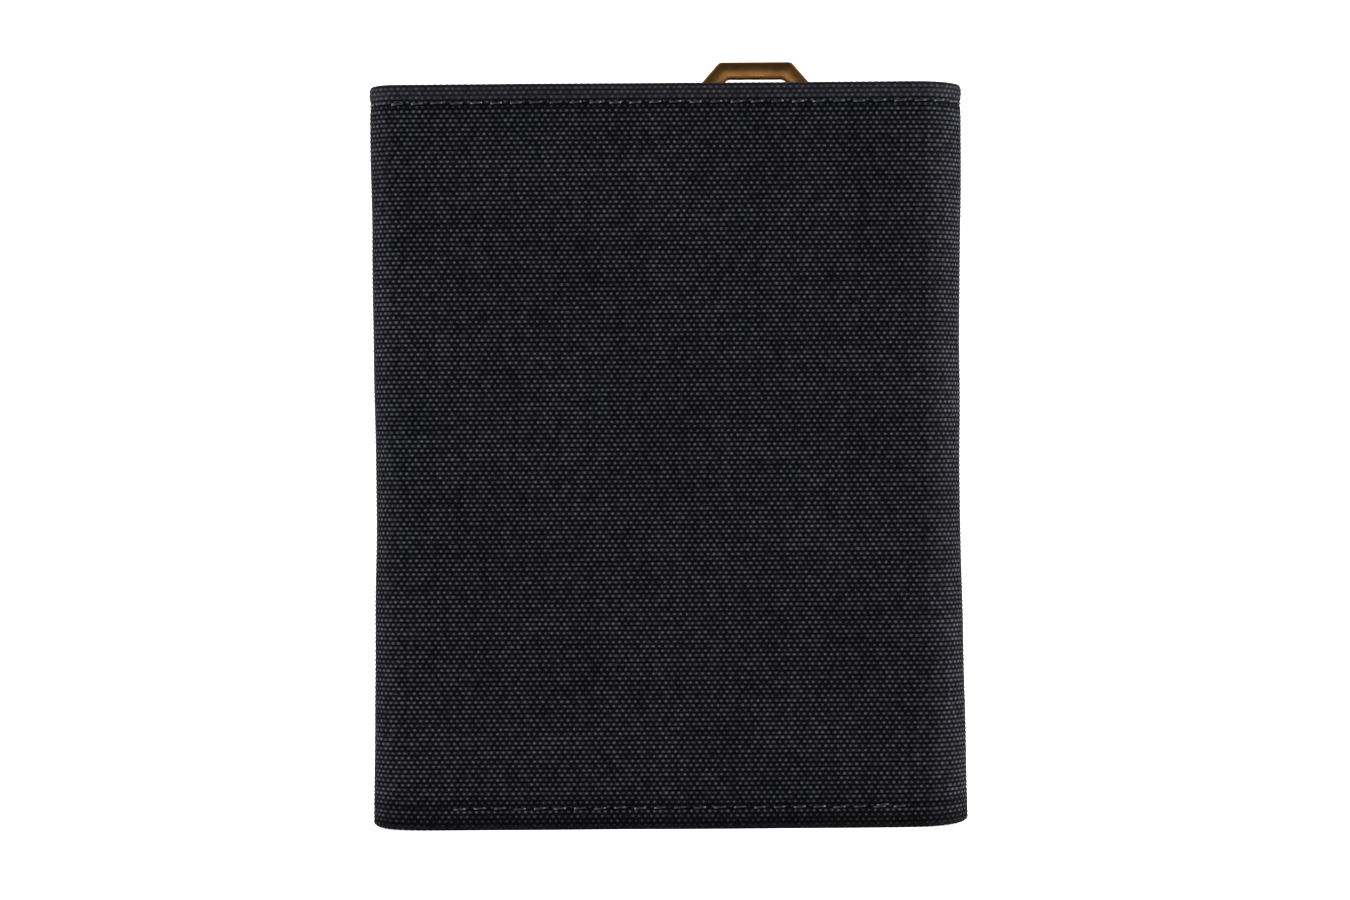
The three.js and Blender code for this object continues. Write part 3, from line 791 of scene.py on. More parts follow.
# ---- lining
LINING_THICK = 0.45
LINING_TOUCH = 2 * WRAP_RADIUS + 0.1
LINING_MARGIN = 1.5
LINING_INSET = 1.0
LINING_REACH = 2.0
LINING_STEP, LINING_ROWS = 0.9, 90
TAPER = 7.0
SETTLE = 12.0
PLAIN_DEPTH = corners("back_lining")[0][1] - BACK_Y
FLAP_DEPTH = OUTER_Y - corners("outer_flap_lining")[1][1]
LINING_FROM, LINING_TO = S["inner_flap"] + LINING_INSET, S["outer_edge"] - LINING_INSET


def lining_depth(s, z):
    """Depth of the lining's outer side: flat over the boards, drawn to the canvas at every sewn edge."""
    base = PLAIN_DEPTH + (FLAP_DEPTH - PLAIN_DEPTH) * smooth((s - S["outer_flap_fold"]) / SETTLE)
    edge = smooth((z - LINING_MARGIN) / TAPER) * smooth((HEIGHT - LINING_MARGIN - z) / TAPER)
    edge = edge * smooth((s - LINING_FROM) / TAPER) * smooth((LINING_TO - s) / TAPER)
    crease = 0.08 * np.sin(s / 3.1 + z / 5.3) * np.sin(z / 7.9 - s / 11.0) * edge
    return LINING_TOUCH + (base - LINING_TOUCH) * edge + crease - body_shape(s, z)


def lining_piece(name, s_low, s_high, fold):
    s = np.linspace(s_low, s_high, int((s_high - s_low) / LINING_STEP) + 2)
    z = np.linspace(LINING_MARGIN, HEIGHT - LINING_MARGIN, LINING_ROWS)
    depth = lining_depth(s[:, None], z[None, :])
    piece = double_sheet(name, strip_points(s, z, depth), strip_points(s, z, depth + LINING_THICK), LINING)
    stand_for(fold, "lining")
    cross(piece, fold, PLAIN_DEPTH + LINING_THICK, LINING_REACH)


def make_lining():
    lining_piece("lining_inner_flap", LINING_FROM, INNER_SPINE_MID, "inner_flap")
    lining_piece("lining_back_left", INNER_SPINE_MID, on_back(0), "left")
    lining_piece("lining_back_right", on_back(0), OUTER_SPINE_MID, "right")
    lining_piece("lining_outer_flap", OUTER_SPINE_MID, LINING_TO, "outer_flap")


# ---- sewing
STITCH_RINGS = np.linspace(-1, 1, 9)
THREAD_ROUND = np.linspace(0, 2 * np.pi, THREAD_SIDES, endpoint=False)
THREAD_CAPS = np.array([(0, 1, 2, 3), (0, 3, 4, 5)])
STITCH_HALF = 0.35 * STITCH
STITCH_LEAN = 0.1
STITCH_SCATTER = 0.04
STITCH_DIVE = 0.06, 0.42
FLAT_STITCH_DIVE = 0.03, 0.3
TACK_RISE = 0.3, 0.25


def seam_line(a, b, pitch):
    """A row of stitches from a to b: its start and direction, each stitch's middle, and the real pitch."""
    a, b = np.array(a, float), np.array(b, float)
    size = np.linalg.norm(b - a)
    count = max(1, int(round(size / pitch)))
    return a, (b - a) / size, (np.arange(count) + 0.5) * size / count, size / count


def rings_round(middle, across, radius, side, dive):
    """Rings of thread round the middle lines of stitches, in the plane of the cloth and off it. dive says how
    far a stitch stands off the cloth and how much lower its ends are. side is the way it stands off."""
    radius = radius * np.sqrt(np.clip(1 - np.abs(STITCH_RINGS) ** 12, 0.02, 1))[:, None]
    rings = middle[:, :, None, :] + (radius * np.sin(THREAD_ROUND))[..., None] * across
    lift = side * (dive[0] - dive[1] * np.abs(STITCH_RINGS) ** 5)[:, None]
    return rings, lift + radius * np.cos(THREAD_ROUND)


def stitch_points(a, b, depth_of, side):
    """Rings of points for every stitch of a row from a to b, which are (length along the strip, height).
    The thread lies on the cloth and dives in at both ends. side is -1 on the outside and 1 on the inside."""
    a, way, start, _ = seam_line(a, b, STITCH)
    across = np.array([-way[1], way[0]])
    sideways = rng.normal(0, STITCH_SCATTER, len(start))[:, None] + STITCH_LEAN * STITCH_RINGS
    along = start[:, None] + STITCH_RINGS * STITCH_HALF
    middle = a + along[..., None] * way + sideways[..., None] * across
    rings, lift = rings_round(middle, across, THREAD_RADIUS, side, STITCH_DIVE)
    depth = depth_of(middle[..., 0], middle[..., 1])[..., None] + lift
    s, z = rings[..., 0].ravel(), rings[..., 1].ravel()
    point, inward = strip.at(s)
    xy = point + inward * depth.reshape(-1, 1)
    return np.concatenate([xy, (z + edge_lift(s, z))[:, None]], 1).reshape(*rings.shape[:3], 3)


def flat_stitches(a, b, face, side):
    """Stitches on a panel, from a to b in X and Z. face is the panel's y, or says it for any x and z, and
    side is -1 on a face towards the back."""
    a, way, start, pitch = seam_line(a, b, FLAT_STITCH)
    along = start[:, None] + STITCH_RINGS * 0.34 * pitch
    middle = a + along[..., None] * way
    across = np.array([-way[1], way[0]])
    rings, lift = rings_round(middle, across, FLAT_THREAD_RADIUS, side, FLAT_STITCH_DIVE)
    y = face(middle[..., 0], middle[..., 1])[..., None] if callable(face) else face
    return np.stack([rings[..., 0], np.broadcast_to(y + lift, rings.shape[:3]), rings[..., 1]], -1)


def sides(loop):
    """The pairs of corners along a closed outline."""
    return zip(loop, loop[1:] + loop[:1])


def thread_mesh(name, rows):
    """One piece for any number of stitches, each a closed little bar of THREAD_SIDES sides."""
    stitches = np.concatenate(rows)
    count, rings, around = stitches.shape[:3]
    last = (rings - 1) * around
    bar = np.concatenate([grid_quads(rings, around)[:, ::-1], THREAD_CAPS, THREAD_CAPS[:, ::-1] + last])
    quads = bar[None] + np.arange(count)[:, None, None] * rings * around
    ends = np.abs(STITCH_RINGS) ** 3
    glint = np.repeat(0.03 + ends * rng.uniform(0.0, 1.6, (count, rings)), around)
    return mesh_object(name, stitches, quads.reshape(-1, 4), THREAD, {"glint": glint})


def outside(s, z):
    return -body_shape(s, z) - YARN_RELIEF * 0.6


def inside(s, z):
    return lining_depth(s, z) + LINING_THICK


def seam_rows(a, b):
    """The same seam seen from outside and from inside."""
    return [stitch_points(a, b, outside, -1), stitch_points(a, b, inside, 1)]


def make_seams():
    middle = on_back(0)
    first, last = S["inner_flap"] + FLAP_SEAM_INSET, S["outer_edge"] - FLAP_SEAM_INSET
    top, bottom = TOP_SEAM, BOTTOM_SEAM
    tack_from, tack_to = (on_back(x) for x in BACK_TACK_X)
    plan = {
        "inner_flap": [((first, top), (INNER_SPINE_MID, top)),
                       ((first, bottom), (INNER_SEAM[1], bottom)),
                       ((first, bottom), (first, top))],
        "left": [((INNER_SPINE_MID, top), (middle, top)), ((BACK_SEAM[0], bottom), (middle, bottom))],
        "right": [((middle, top), (OUTER_SPINE_MID, top)), ((middle, bottom), (BACK_SEAM[1], bottom)),
                  ((tack_from, bottom + TACK_RISE[0]), (tack_to, bottom + TACK_RISE[1]))],
        "outer_flap": [((OUTER_SPINE_MID, top), (last, top)), ((OUTER_SEAM[0], bottom), (last, bottom)),
                       ((last, bottom), (last, top))],
    }
    for fold, seams in plan.items():
        piece = thread_mesh(f"stitches_{fold}", [row for a, b in seams for row in seam_rows(a, b)])
        cross(piece, fold)
    left, right = on_outer_flap(WINDOW_X[1] + WINDOW_SEAM), on_outer_flap(WINDOW_X[0] - WINDOW_SEAM)
    box = rectangle(left, WINDOW[0] - WINDOW_SEAM, right, WINDOW[1] + WINDOW_SEAM)
    rows = [stitch_points(a, b, outside, -1) for a, b in sides(box)]
    riding(thread_mesh("stitches_zip_window", rows), "outer_flap", "canvas")


# ---- passport pocket, binding and card slots
POCKET = corners("passport_pocket")
POCKET_LIFT = 0.75
POCKET_SLACK = 0.12
POCKET_EDGE = 1.6
POCKET_TAPER, POCKET_FOOT_TAPER = 5.5, 6.5
POCKET_COLUMNS, POCKET_ROWS = 110, 90
PANEL_THICK = 0.55
BINDING_WALL = 0.32
BINDING_DROP = 4.0
BINDING_INSET = 0.6
BINDING_SEAM = 1.0


def pocket_face(x, z):
    """Where the pocket's inner face is: sewn down at both sides and below, and standing clear between."""
    low, high = POCKET
    sewn = BACK_Y + PLAIN_DEPTH + LINING_THICK + POCKET_LIFT
    share = smooth((x - low[0]) / POCKET_TAPER) * smooth((high[0] - x) / POCKET_TAPER)
    share = share * smooth((z - low[2]) / POCKET_FOOT_TAPER)
    crease = 0.10 * np.sin(x / 9.0 + z / 17.0) * np.sin(z / 11.0) * share
    return sewn + (high[1] - sewn - POCKET_SLACK) * share ** 0.8 + crease


def binding_face(x, z):
    """The same for the binding, which follows the pocket's top edge at every height."""
    return pocket_face(x, np.full_like(x, POCKET[1][2])) + BINDING_WALL + 0.05


def binding_section(foot, top):
    """Round the tape that is folded over the edge: distance from the panel's middle, and height."""
    half = PANEL_THICK / 2 + 0.02
    wide = half + BINDING_WALL
    arch = np.linspace(0, np.pi, 9)
    outer = [(wide * np.cos(a), top - wide + wide * np.sin(a)) for a in arch]
    inner = [(-half * np.cos(a), top - wide + half * np.sin(a)) for a in arch]
    loop = [(wide, foot)] + outer + [(-wide, foot), (-half, foot)] + inner + [(half, foot)]
    return np.array(loop[::-1])


def make_passport_pocket():
    low, high = POCKET
    x = np.linspace(low[0], high[0], POCKET_COLUMNS)
    z = np.linspace(low[2], high[2], POCKET_ROWS)
    front = grid_points(x, pocket_face(x[:, None], z[None, :]), z)
    behind = front - (0, PANEL_THICK, 0)
    riding(double_sheet("pocket_panel", behind, front, LINING), "back", "lining", "passport_pocket")
    tape_low, tape_high = corners("passport_pocket_binding")
    foot = tape_low[2] - BINDING_DROP
    loop = binding_section(foot, tape_high[2])
    x = np.linspace(low[0] + BINDING_INSET, high[0] - BINDING_INSET, 90)
    middle = pocket_face(x, np.full_like(x, high[2])) - PANEL_THICK / 2
    rings = grid_points(x, middle[:, None] + loop[:, 0], loop[:, 1])
    riding(closed_tube("pocket_binding", rings, BINDING), "back", "binding_tape", "passport_pocket_binding")
    seam = foot + BINDING_SEAM
    rows = [flat_stitches((low[0] + 2, seam), (high[0] - 2, seam), binding_face, 1)]
    left, right, bottom, top = low[0] + POCKET_EDGE, high[0] - POCKET_EDGE, low[2] + POCKET_EDGE, high[2] - 5
    turns = [(left, top), (left, bottom), (right, bottom), (right, top)]
    rows += [flat_stitches(a, b, pocket_face, 1) for a, b in zip(turns, turns[1:])]
    riding(thread_mesh("stitches_pocket", rows), "back", "lining")


CARD_TAPER = 4.0
CARD_HEM = 5.4
CARD_HEM_SEAM = 4.4
CARD_SEAM = 1.2
CARD_GAP = 0.6
CARD_CLEAR, CARD_BACK_CLEAR = 0.12, 0.05
CARD_HEM_RISE = 0.16
CARD_WAVE = 0.05


def card_panel(number):
    """One slot's panel, sewn down at the sides and below, with a turned hem along its open top. Its rows of
    points lie closer at the hem."""
    low, high = corners(f"card_slot_{number}")
    top = high[2]
    x = np.linspace(low[0], high[0], 90)
    z = np.concatenate([np.linspace(low[2], top - 6, 40), np.linspace(top - 5.6, top - 4.8, 4),
                        np.linspace(top - 4, top - 0.5, 8), [top - 0.2, top]])
    across = smooth((x - low[0]) / CARD_TAPER) * smooth((high[0] - x) / CARD_TAPER)
    share = across[:, None] * smooth((z - low[2]) / CARD_TAPER)[None, :]
    hem = CARD_HEM_RISE * smooth((z - top + CARD_HEM) / 0.5) * smooth((top + 0.25 - z) / 0.4)
    wave = CARD_WAVE * np.sin(x / 7.0 + number)[:, None] * np.sin(z / 9.0)[None, :]
    front = grid_points(x, low[1] + CARD_CLEAR + (wave - hem) * share, z)
    back = grid_points(x, high[1] - CARD_BACK_CLEAR, z)
    piece = double_sheet(f"card_panel_{number}", front, back, LINING)
    riding(piece, "outer_flap", "lining", f"card_slot_{number}")


def make_card_slots():
    rows = []
    for number in (1, 2, 3):
        card_panel(number)
        low, high = corners(f"card_slot_{number}")
        seam = high[2] - CARD_HEM_SEAM
        rows.append(flat_stitches((low[0] + 1, seam), (high[0] - 1, seam), low[1] - 0.02, -1))
    low, high = corners("card_slot_3")
    left, right, bottom = low[0] + CARD_SEAM, high[0] - CARD_SEAM, low[2] + CARD_SEAM
    for x in (left, right):
        start = bottom
        for number in (3, 2, 1):
            slot_low, slot_high = corners(f"card_slot_{number}")
            rows.append(flat_stitches((x, start), (x, slot_high[2]), slot_low[1] + 0.06, -1))
            start = slot_high[2] + CARD_GAP
    rows.append(flat_stitches((left, bottom), (right, bottom), low[1] + 0.06, -1))
    riding(thread_mesh("stitches_cards", rows), "outer_flap", "lining")


# ---- ring and tab
RING = corners("carry_ring")
RING_X = (RING[0][0] + RING[1][0]) / 2
RING_BASE = pivot("ring_swing")
RING_BAR = 3.3
RING_TOP_FLAT = 13.7
RING_CORNER_DROP = 6.1
RING_WALL = 0.5
RING_SLOPE_END = 0.62
RING_LIP = 0.96
RING_FOOT_CUT = 0.8
RING_CORNER = 0.55
RING_EDGE_GLOW, RING_EDGE_WIDTH, RING_LIP_GLOW = 1.2, 0.05, 0.75
TAB = corners("ring_tab")
WEB = 0.8
TAB_PULL_IN = 4.2
TAB_EDGE_THIN, TAB_EDGE_WIDTH = 0.35, 0.5
TAB_SEAM = 2.0
TAB_SEAM_TOP = 7.5


def ring_section():
    """Round the bar: how far across it from the outside to the eye, and how far from its middle plane."""
    half = (RING[1][1] - RING[0][1]) / 2
    across = np.concatenate([np.linspace(0, RING_SLOPE_END, 9), np.linspace(RING_LIP, 1, 6)])
    slope = 1 - np.clip(1 - across / RING_SLOPE_END, 0, 1) ** 1.6
    lip = np.clip((across - RING_LIP) / (1 - RING_LIP), 0, 1) ** 2
    face = half * (RING_WALL + (1 - RING_WALL) * (slope - lip))
    return np.concatenate([across, across[::-1]]), np.concatenate([-face, face[::-1]])


def make_ring():
    side = (RING[1][0] - RING[0][0]) / 2
    foot, top = RING[0][2], RING[1][2]
    thick = RING[1][1] - RING[0][1]
    flat = RING_TOP_FLAT / 2
    slope = np.arctan2(RING_CORNER_DROP, side - flat)
    eye_side, eye_top, eye_foot = side - RING_BAR, top - RING_BAR, foot + thick
    eye_flat = flat - RING_BAR * np.tan(slope / 2)
    shoulder = eye_top - (eye_side - eye_flat) * np.tan(slope)

    def outline(x, low, high, corner_z, corner_x, cut):
        right = [(x - cut, low), (x, low + cut), (x, corner_z), (corner_x, high)]
        return right + [(-px, pz) for px, pz in right[::-1]]

    outer = outline(side, foot, top, top - RING_CORNER_DROP, flat, RING_FOOT_CUT)
    inner = outline(eye_side, eye_foot, eye_top, shoulder, eye_flat, RING_FOOT_CUT / 4)
    outer, inner = (rounded(np.array(loop) + (RING_X, 0), RING_CORNER, 5) for loop in (outer, inner))
    across, off = ring_section()
    loops = outer[:, None] + (inner - outer)[:, None] * across[None, :, None]
    y = np.broadcast_to(RING_BASE[1] + off, loops.shape[:2])
    rings = np.stack([loops[..., 0], y, loops[..., 1]], -1)
    count, around = rings.shape[:2]
    quads = grid_quads(count + 1, around) % (count * around)
    # Painted highlight: a bright line along the outer edge, and the face lighter towards the eye
    painted_highlight = rise(across, RING_EDGE_GLOW, RING_EDGE_WIDTH) + RING_LIP_GLOW * smooth((across - 0.3) / 0.6)
    painted_highlight = np.broadcast_to(painted_highlight, rings.shape[:2]).ravel()
    piece = mesh_object("ring_body", rings, quads, BRASS, {"painted_highlight": painted_highlight})
    riding(piece, "carry_ring", "antique_brass", "carry_ring")


def tab_route():
    """The webbing from the side, as (y, z): up against the back, round the ring's bar and down again."""
    y, z = RING_BASE[1], RING_BASE[2]
    low, high = TAB
    radius = high[1] - y - WEB / 2
    back_y, front_y = low[1] + WEB / 2, low[1] + WEB * 1.5 + 0.02
    route = [(back_y, up) for up in np.linspace(low[2], z - 1, 16)]
    route += [(y + radius * np.cos(a), z + radius * np.sin(a)) for a in np.linspace(np.pi, -0.35, 26)]
    last_y, last_z = route[-1]
    for t in np.linspace(0, 1, 12)[1:]:
        route.append((last_y + (front_y - last_y) * smooth(t), last_z - t * TAB_PULL_IN))
    route += [(front_y, up) for up in np.linspace(last_z - TAB_PULL_IN, low[2] + 0.5, 14)[1:]]
    return np.array(route)


def make_ring_tab():
    low, high = TAB
    route = tab_route()
    normal = side_of(route)
    x = np.linspace(low[0], high[0], 41)
    thin = sum(rise(x - side, TAB_EDGE_THIN, TAB_EDGE_WIDTH) for side in (low[0], high[0]))
    edge = 0.5 * WEB * (1 - thin)
    faces = []
    for sign in (-1, 1):
        spot = route[:, None, :] + sign * normal[:, None, :] * edge[None, :, None]
        faces.append(np.stack([np.broadcast_to(x, spot.shape[:2]), spot[..., 0], spot[..., 1]], -1))
    riding(double_sheet("tab_webbing", *faces, WEBBING), "back", "webbing", "ring_tab")
    face = low[1] + 2 * WEB + 0.05
    box = rectangle(low[0] + TAB_SEAM, low[2] + TAB_SEAM, high[0] - TAB_SEAM, RING_BASE[2] - TAB_SEAM_TOP)
    lines = [*sides(box), (box[0], box[2]), (box[3], box[1])]
    rows = [flat_stitches(a, b, face, 1) for a, b in lines]
    riding(thread_mesh("stitches_tab", rows), "back", "webbing")


# ---- zip
SLIDER = corners("zip_slider")
PULL = corners("zip_pull")
COIL_PITCH = 1.25
COIL_STEPS = 14
COIL_SIDES = 6
COIL_WIRE = 0.26
COIL_START, COIL_SHORT = 0.3, 0.9
COIL_REACH = 1.05
COIL_CENTRE = 1.07
COIL_SEAM, COIL_SEAM_INSET = 1.55, 3.0
TAPE_CORD, TAPE_CORD_HEIGHT, TAPE_CORD_WIDTH = 2.6, 0.16, 0.5
TAPE_RIPPLE = 0.015
TAPE_ROWS = np.array([0, 0.03, 0.08, 0.16, 0.2, 0.3, 0.5, 0.8, 1.0])
STOP_BEVEL = 0.3


def make_zip_tapes():
    for side, sign in (("upper", 1), ("lower", -1)):
        low, high = corners(f"zip_tape_{side}")
        x = np.linspace(low[0], high[0], 200)
        near, far = (low[2], high[2]) if sign > 0 else (high[2], low[2])
        z = near + (far - near) * TAPE_ROWS
        cord = rise(np.abs(z - near) - TAPE_CORD, TAPE_CORD_HEIGHT, TAPE_CORD_WIDTH)
        ripple = TAPE_RIPPLE * np.sin(np.pi * x / COIL_PITCH)
        y = high[1] + cord[None, :] + ripple[:, None]
        front = grid_points(x, y, z)
        back = front - (0, high[1] - low[1], 0)
        sheets = (back, front) if sign > 0 else (front, back)
        tape = double_sheet(f"zip_tape_cloth_{side}", *sheets, ZIP_TAPE)
        riding(tape, "outer_flap", "zip_tape", f"zip_tape_{side}")


def make_coils():
    """Two flattened coils of nylon that mesh along the middle of the zip."""
    for side, sign in (("upper", 1), ("lower", -1)):
        middle, half = middle_and_half(f"zip_coil_{side}")
        turns = 2 * half[0] / COIL_PITCH
        angle = np.linspace(0, 2 * np.pi * turns, int(turns * COIL_STEPS))
        shift = COIL_PITCH / 4 if sign < 0 else 0
        x = middle[0] - half[0] + COIL_START + shift + (2 * half[0] - COIL_SHORT) * angle / angle[-1]
        z = ZIP_Z + sign * (COIL_CENTRE - COIL_REACH * np.cos(angle))
        y = middle[1] + (half[1] - COIL_WIRE) * np.sin(angle)
        piece = rod_through(f"zip_coil_wire_{side}", np.stack([x, y, z], 1), COIL_WIRE, NYLON)
        riding(piece, "outer_flap", "zip_coil", f"zip_coil_{side}")
    face = corners("zip_coil_upper")[1][1] - 0.02
    rows = []
    for z in (ZIP_Z + COIL_SEAM, ZIP_Z - COIL_SEAM):
        start, end = WINDOW_X[0] + COIL_SEAM_INSET, WINDOW_X[1] - COIL_SEAM_INSET
        rows.append(flat_stitches((start, z), (end, z), face, 1))
    riding(thread_mesh("zip_coil_sewing", rows), "outer_flap", "zip_tape")


def make_stops():
    for side in ("left", "right"):
        low, high = corners(f"zip_stop_{side}")
        loop = rounded(rectangle(low[0], low[2], high[0], high[2]), 0.5)
        middle, half = middle_and_half(f"zip_stop_{side}")
        piece = plate(f"zip_crimp_{side}", [loop], middle[1], 2 * half[1], STOP_BEVEL, GUNMETAL)
        riding(piece, "outer_flap", "gunmetal", f"zip_stop_{side}")


SLIDER_CLEAR = 0.3
SLIDER_PLATE = 0.6
SLIDER_BEVEL = 0.2
SLIDER_NARROW = 0.7
FLANGE_INSET = 1.2
FLANGE_BEVEL = 0.12
FLANGE_IN, FLANGE_OUT = 2.4, 3.1
CROWN_REACH = 2.0
CROWN_HALF = 0.22, 0.7
CROWN_ROUND = 0.55
CROWN_CLEAR = 0.25


def make_slider():
    low, high = SLIDER
    x = (low[0] + high[0]) / 2
    half = (high[0] - low[0]) / 2
    back = corners("zip_coil_upper")[1][1] + SLIDER_CLEAR
    front = back + SLIDER_PLATE
    nose = (high[2] - low[2]) / 2
    tail = nose - SLIDER_NARROW
    outline = mirrored([(x - half, nose - 1.4), (x - half + 1.6, nose), (x, nose - 0.1),
                        (x + half - 1.0, tail), (x + half, tail - 1.2)])
    loops = [rounded(outline, 0.9)]
    body = plate("slider_plate", loops, (back + front) / 2, SLIDER_PLATE, SLIDER_BEVEL, GUNMETAL)
    riding(body, "zip_slider", "gunmetal", "zip_slider")
    middle, deep = (low[1] + back) / 2 + 0.05, back - low[1] + 0.1
    for name, sign in (("upper", 1), ("lower", -1)):
        a, b = sorted((ZIP_Z + sign * FLANGE_IN, ZIP_Z + sign * FLANGE_OUT))
        loop = rounded(rectangle(x - half + FLANGE_INSET, a, x + half - FLANGE_INSET, b), 0.3)
        flange = plate(f"slider_flange_{name}", [loop], middle, deep, FLANGE_BEVEL, GUNMETAL)
        riding(flange, "zip_slider", "gunmetal")
    make_crown(x, front, high[1] - front - CROWN_CLEAR)


def make_crown(x, front, height):
    """The flat loop on the slider's plate that holds the pull."""
    route = [(x - CROWN_REACH, front - 0.1)]
    for angle in np.linspace(np.pi, 0, 21):
        route.append((x + CROWN_REACH * np.cos(angle), front + height * np.abs(np.sin(angle)) ** CROWN_ROUND))
    route.append((x + CROWN_REACH, front - 0.1))
    route = np.array(route)
    normal = side_of(route)
    thick, wide = CROWN_HALF
    section = rounded([(-thick, wide), (thick, wide), (thick, -wide), (-thick, -wide)], 0.18, 4)
    rings = np.zeros((len(route), len(section), 3))
    rings[..., :2] = route[:, None, :] + normal[:, None, :] * section[None, :, :1]
    rings[..., 2] = ZIP_Z + section[:, 1]
    riding(closed_tube("slider_crown", rings, GUNMETAL), "zip_slider", "gunmetal")


# The pull: its half width at the root and the waist as shares, its eye and its hole from the hinge
PULL_ROOT, PULL_WAIST = 0.62, 0.8
PULL_EYE = 0.45, 3.6, 1.15
PULL_HOLE = 13.4, 1.15
PULL_BEVEL = 0.22


def make_pull():
    low, high = PULL
    x, y, _ = pivot("pull_swing")
    half = (high[2] - low[2]) / 2
    outline = mirrored([(low[0], half * PULL_ROOT), (x + 5, half * PULL_WAIST), (high[0] - 2, half),
                        (high[0], half - 2)])
    start, end, up = PULL_EYE
    eye = rounded(rectangle(x + start, ZIP_Z - up, x + end, ZIP_Z + up)[::-1], 0.4)
    hole = circle(x + PULL_HOLE[0], ZIP_Z, PULL_HOLE[1])[::-1]
    piece = plate("pull_tab", [rounded(outline, 1.6), eye, hole], y, high[1] - low[1], PULL_BEVEL, GUNMETAL)
    riding(piece, "zip_pull", "gunmetal", "zip_pull")


# ---- press stud
CAP_FACE = 0.78
CAP_DIP = 0.22
CAP_RIM = 0.45
EYELET_RADIUS = 1.4


def stud_cap(radius, bottom, crown):
    """A shallow dome, a groove round it, a rolled rim and the eyelet through the cloth."""
    seat = OUTER_Y + 0.1
    dome = [(0, crown)]
    dome += [(radius * CAP_FACE * t, crown - CAP_DIP * t ** 2) for t in np.linspace(0.1, 1, 8)]
    groove = [(radius * 0.80, crown - 0.42), (radius * 0.84, crown - 0.34)]
    turn = np.linspace(0.1, np.pi * 0.9, 9)
    rim = [(radius - CAP_RIM + CAP_RIM * np.sin(a), seat + 0.5 + 0.5 * np.cos(a)) for a in turn]
    eyelet = [(EYELET_RADIUS, seat), (EYELET_RADIUS, bottom), (0, bottom)]
    return dome + groove + rim + [(radius * 0.7, seat)] + eyelet


def stud_socket(radius, front, seat):
    """A ring with a raised lip round its hole."""
    return [(2.4, front + 0.2), (2.4, seat - 0.2), (2.5, seat), (radius, seat), (radius, seat - 0.25),
            (radius - 0.5, seat - 0.45), (3.5, front + 0.35), (3.3, front), (2.55, front), (2.4, front + 0.2)]


def stud_post(radius, seat, tip):
    """A waisted post on a flat flange."""
    return [(0, tip), (1.2, tip), (1.7, tip - 0.2), (1.8, tip - 0.5), (1.55, tip - 0.9),
            (1.6, seat + 0.35), (2.2, seat + 0.25), (radius - 0.3, seat + 0.28), (radius, seat + 0.1),
            (radius, seat - 0.15), (0, seat - 0.15)]


def make_stud():
    plan = (("stud_cap", "dome", stud_cap, "outer_flap"), ("stud_socket", "ring", stud_socket, "outer_flap"),
            ("stud_post", "head", stud_post, "inner_flap"))
    x, _, z = middle_and_half("stud_cap")[0]
    for node, part_name, profile, body in plan:
        radius = middle_and_half(node)[1][0]
        low, high = corners(node)
        outline = profile(radius, low[1], high[1])
        riding(lathe(f"{node}_{part_name}", outline, x, z, GUNMETAL), body, "gunmetal", node)


make_canvas()
make_lining()
make_seams()
make_passport_pocket()
make_card_slots()
make_ring()
make_ring_tab()
make_zip_tapes()
make_coils()
make_stops()
make_slider()
make_pull()
make_stud()

# ---- stage, camera and light
EYE_DISTANCE = 600.0
LENS = 85.4
AIM_X = 1.4
AIM_Z = HEIGHT / 2 + 1.1
ROLL = 0.4
LIGHT_AIM = 0, 0, 70


def make_camera():
    camera = bpy.data.objects.new("camera", bpy.data.cameras.new("camera"))
    bpy.context.scene.collection.objects.link(camera)
    camera.location = Vector((AIM_X, BACK_Y - EYE_DISTANCE, AIM_Z)) * MM
    camera.rotation_mode = "XYZ"
    camera.rotation_euler = (np.pi / 2, np.radians(ROLL), 0)
    camera.data.lens = LENS
    camera.data.sensor_width = 36
    camera.data.clip_start = 0.01
    bpy.context.scene.camera = camera


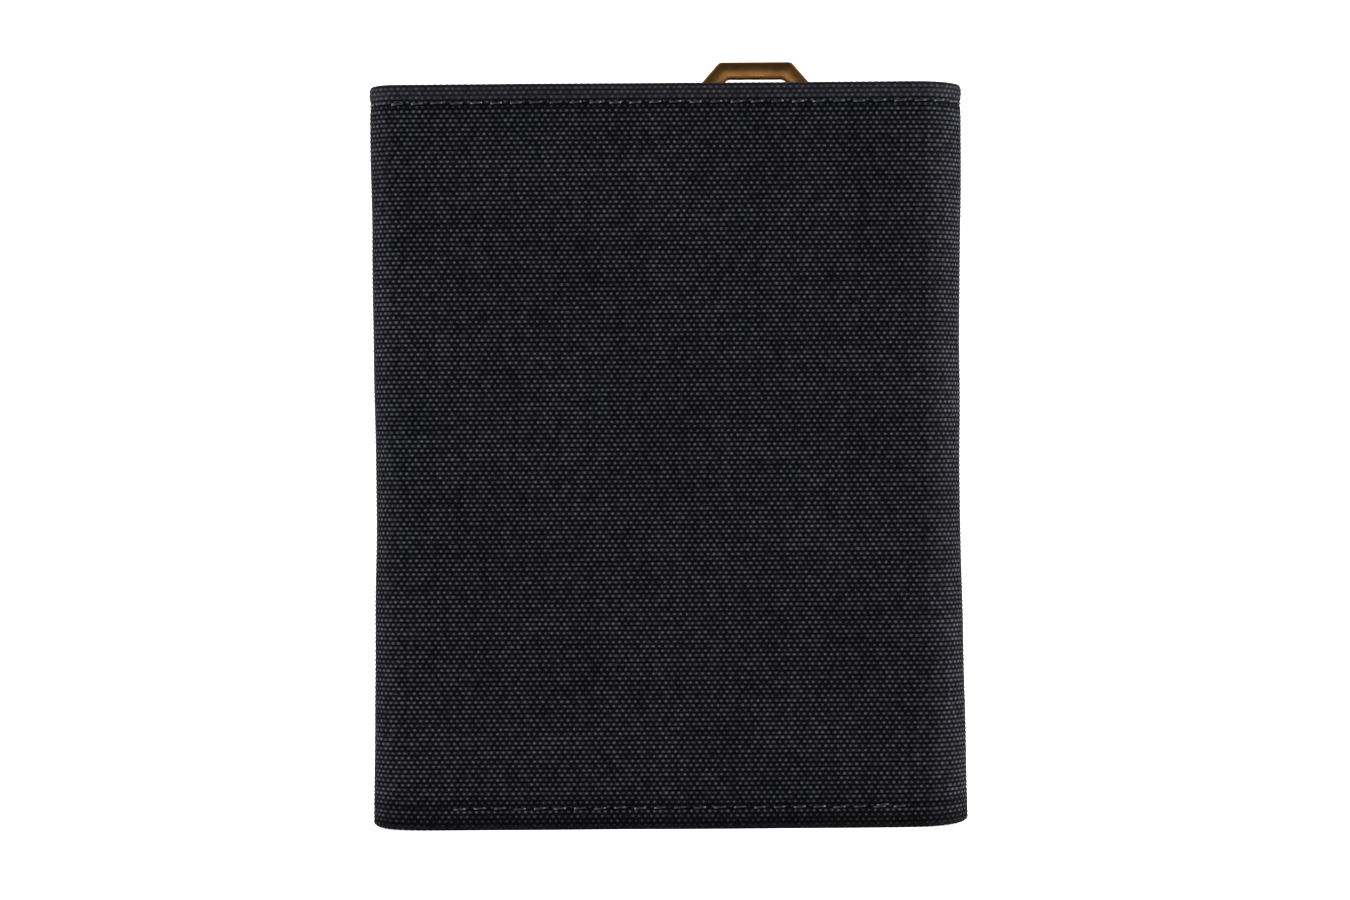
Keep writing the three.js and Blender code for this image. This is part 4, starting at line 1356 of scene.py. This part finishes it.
def white_stage_material():
    n = Nodes("stage_white")
    return n.set(Base_Color=(0.9, 0.9, 0.9, 1), Roughness=0.9, Emission_Color=(1, 1, 1, 1),
                 Emission_Strength=0.7)


def make_stage():
    """A floor that curves up far behind the wallet."""
    size, top, bend = 3000.0, 2500.0, 600.0
    turn = [(size - bend + bend * np.sin(a), bend * (1 - np.cos(a))) for a in np.linspace(0.1, np.pi / 2, 16)]
    side = [(-size, 0), (size - bend, 0)] + turn + [(size, top)]
    points = [(x, y, z) for x in (-size, size) for y, z in side]
    quads = grid_quads(2, len(side), closed=False)
    stage = mesh_object("stage", points, quads, white_stage_material())


def area_light(name, place, size, power):
    data = bpy.data.lights.new(name, "AREA")
    data.shape = "RECTANGLE"
    data.size, data.size_y = size[0] * MM, size[1] * MM
    data.energy = power
    lamp = bpy.data.objects.new(name, data)
    bpy.context.scene.collection.objects.link(lamp)
    lamp.location = Vector(place) * MM
    lamp.rotation_mode = "QUATERNION"
    lamp.rotation_quaternion = (Vector(LIGHT_AIM) - Vector(place)).to_track_quat("-Z", "Y")
    return lamp


def make_light():
    """A white room that is dimmer overhead, and four soft lamps."""
    world = bpy.data.worlds.new("studio")
    world.use_nodes = True
    tree = world.node_tree
    tree.nodes["Background"].inputs["Color"].default_value = (1, 1, 1, 1)
    place = tree.nodes.new("ShaderNodeTexCoord")
    split = tree.nodes.new("ShaderNodeSeparateXYZ")
    fade = tree.nodes.new("ShaderNodeMapRange")
    for socket, value in (("From Min", 0.2), ("From Max", 0.7), ("To Min", 1.05), ("To Max", 0.25)):
        fade.inputs[socket].default_value = value
    tree.links.new(place.outputs["Generated"], split.inputs[0])
    tree.links.new(split.outputs["Z"], fade.inputs["Value"])
    tree.links.new(fade.outputs["Result"], tree.nodes["Background"].inputs["Strength"])
    bpy.context.scene.world = world
    key = area_light("key_light", (150, -700, 900), (600, 600), 5)
    key.visible_glossy = False
    area_light("side_light", (900, -120, 250), (400, 700), 22)
    area_light("left_light", (-850, -150, 300), (400, 700), 14)
    area_light("back_light", (-200, 900, 700), (600, 600), 6)


make_camera()
make_stage()
make_light()
bpy.context.scene.view_settings.view_transform = "Standard"
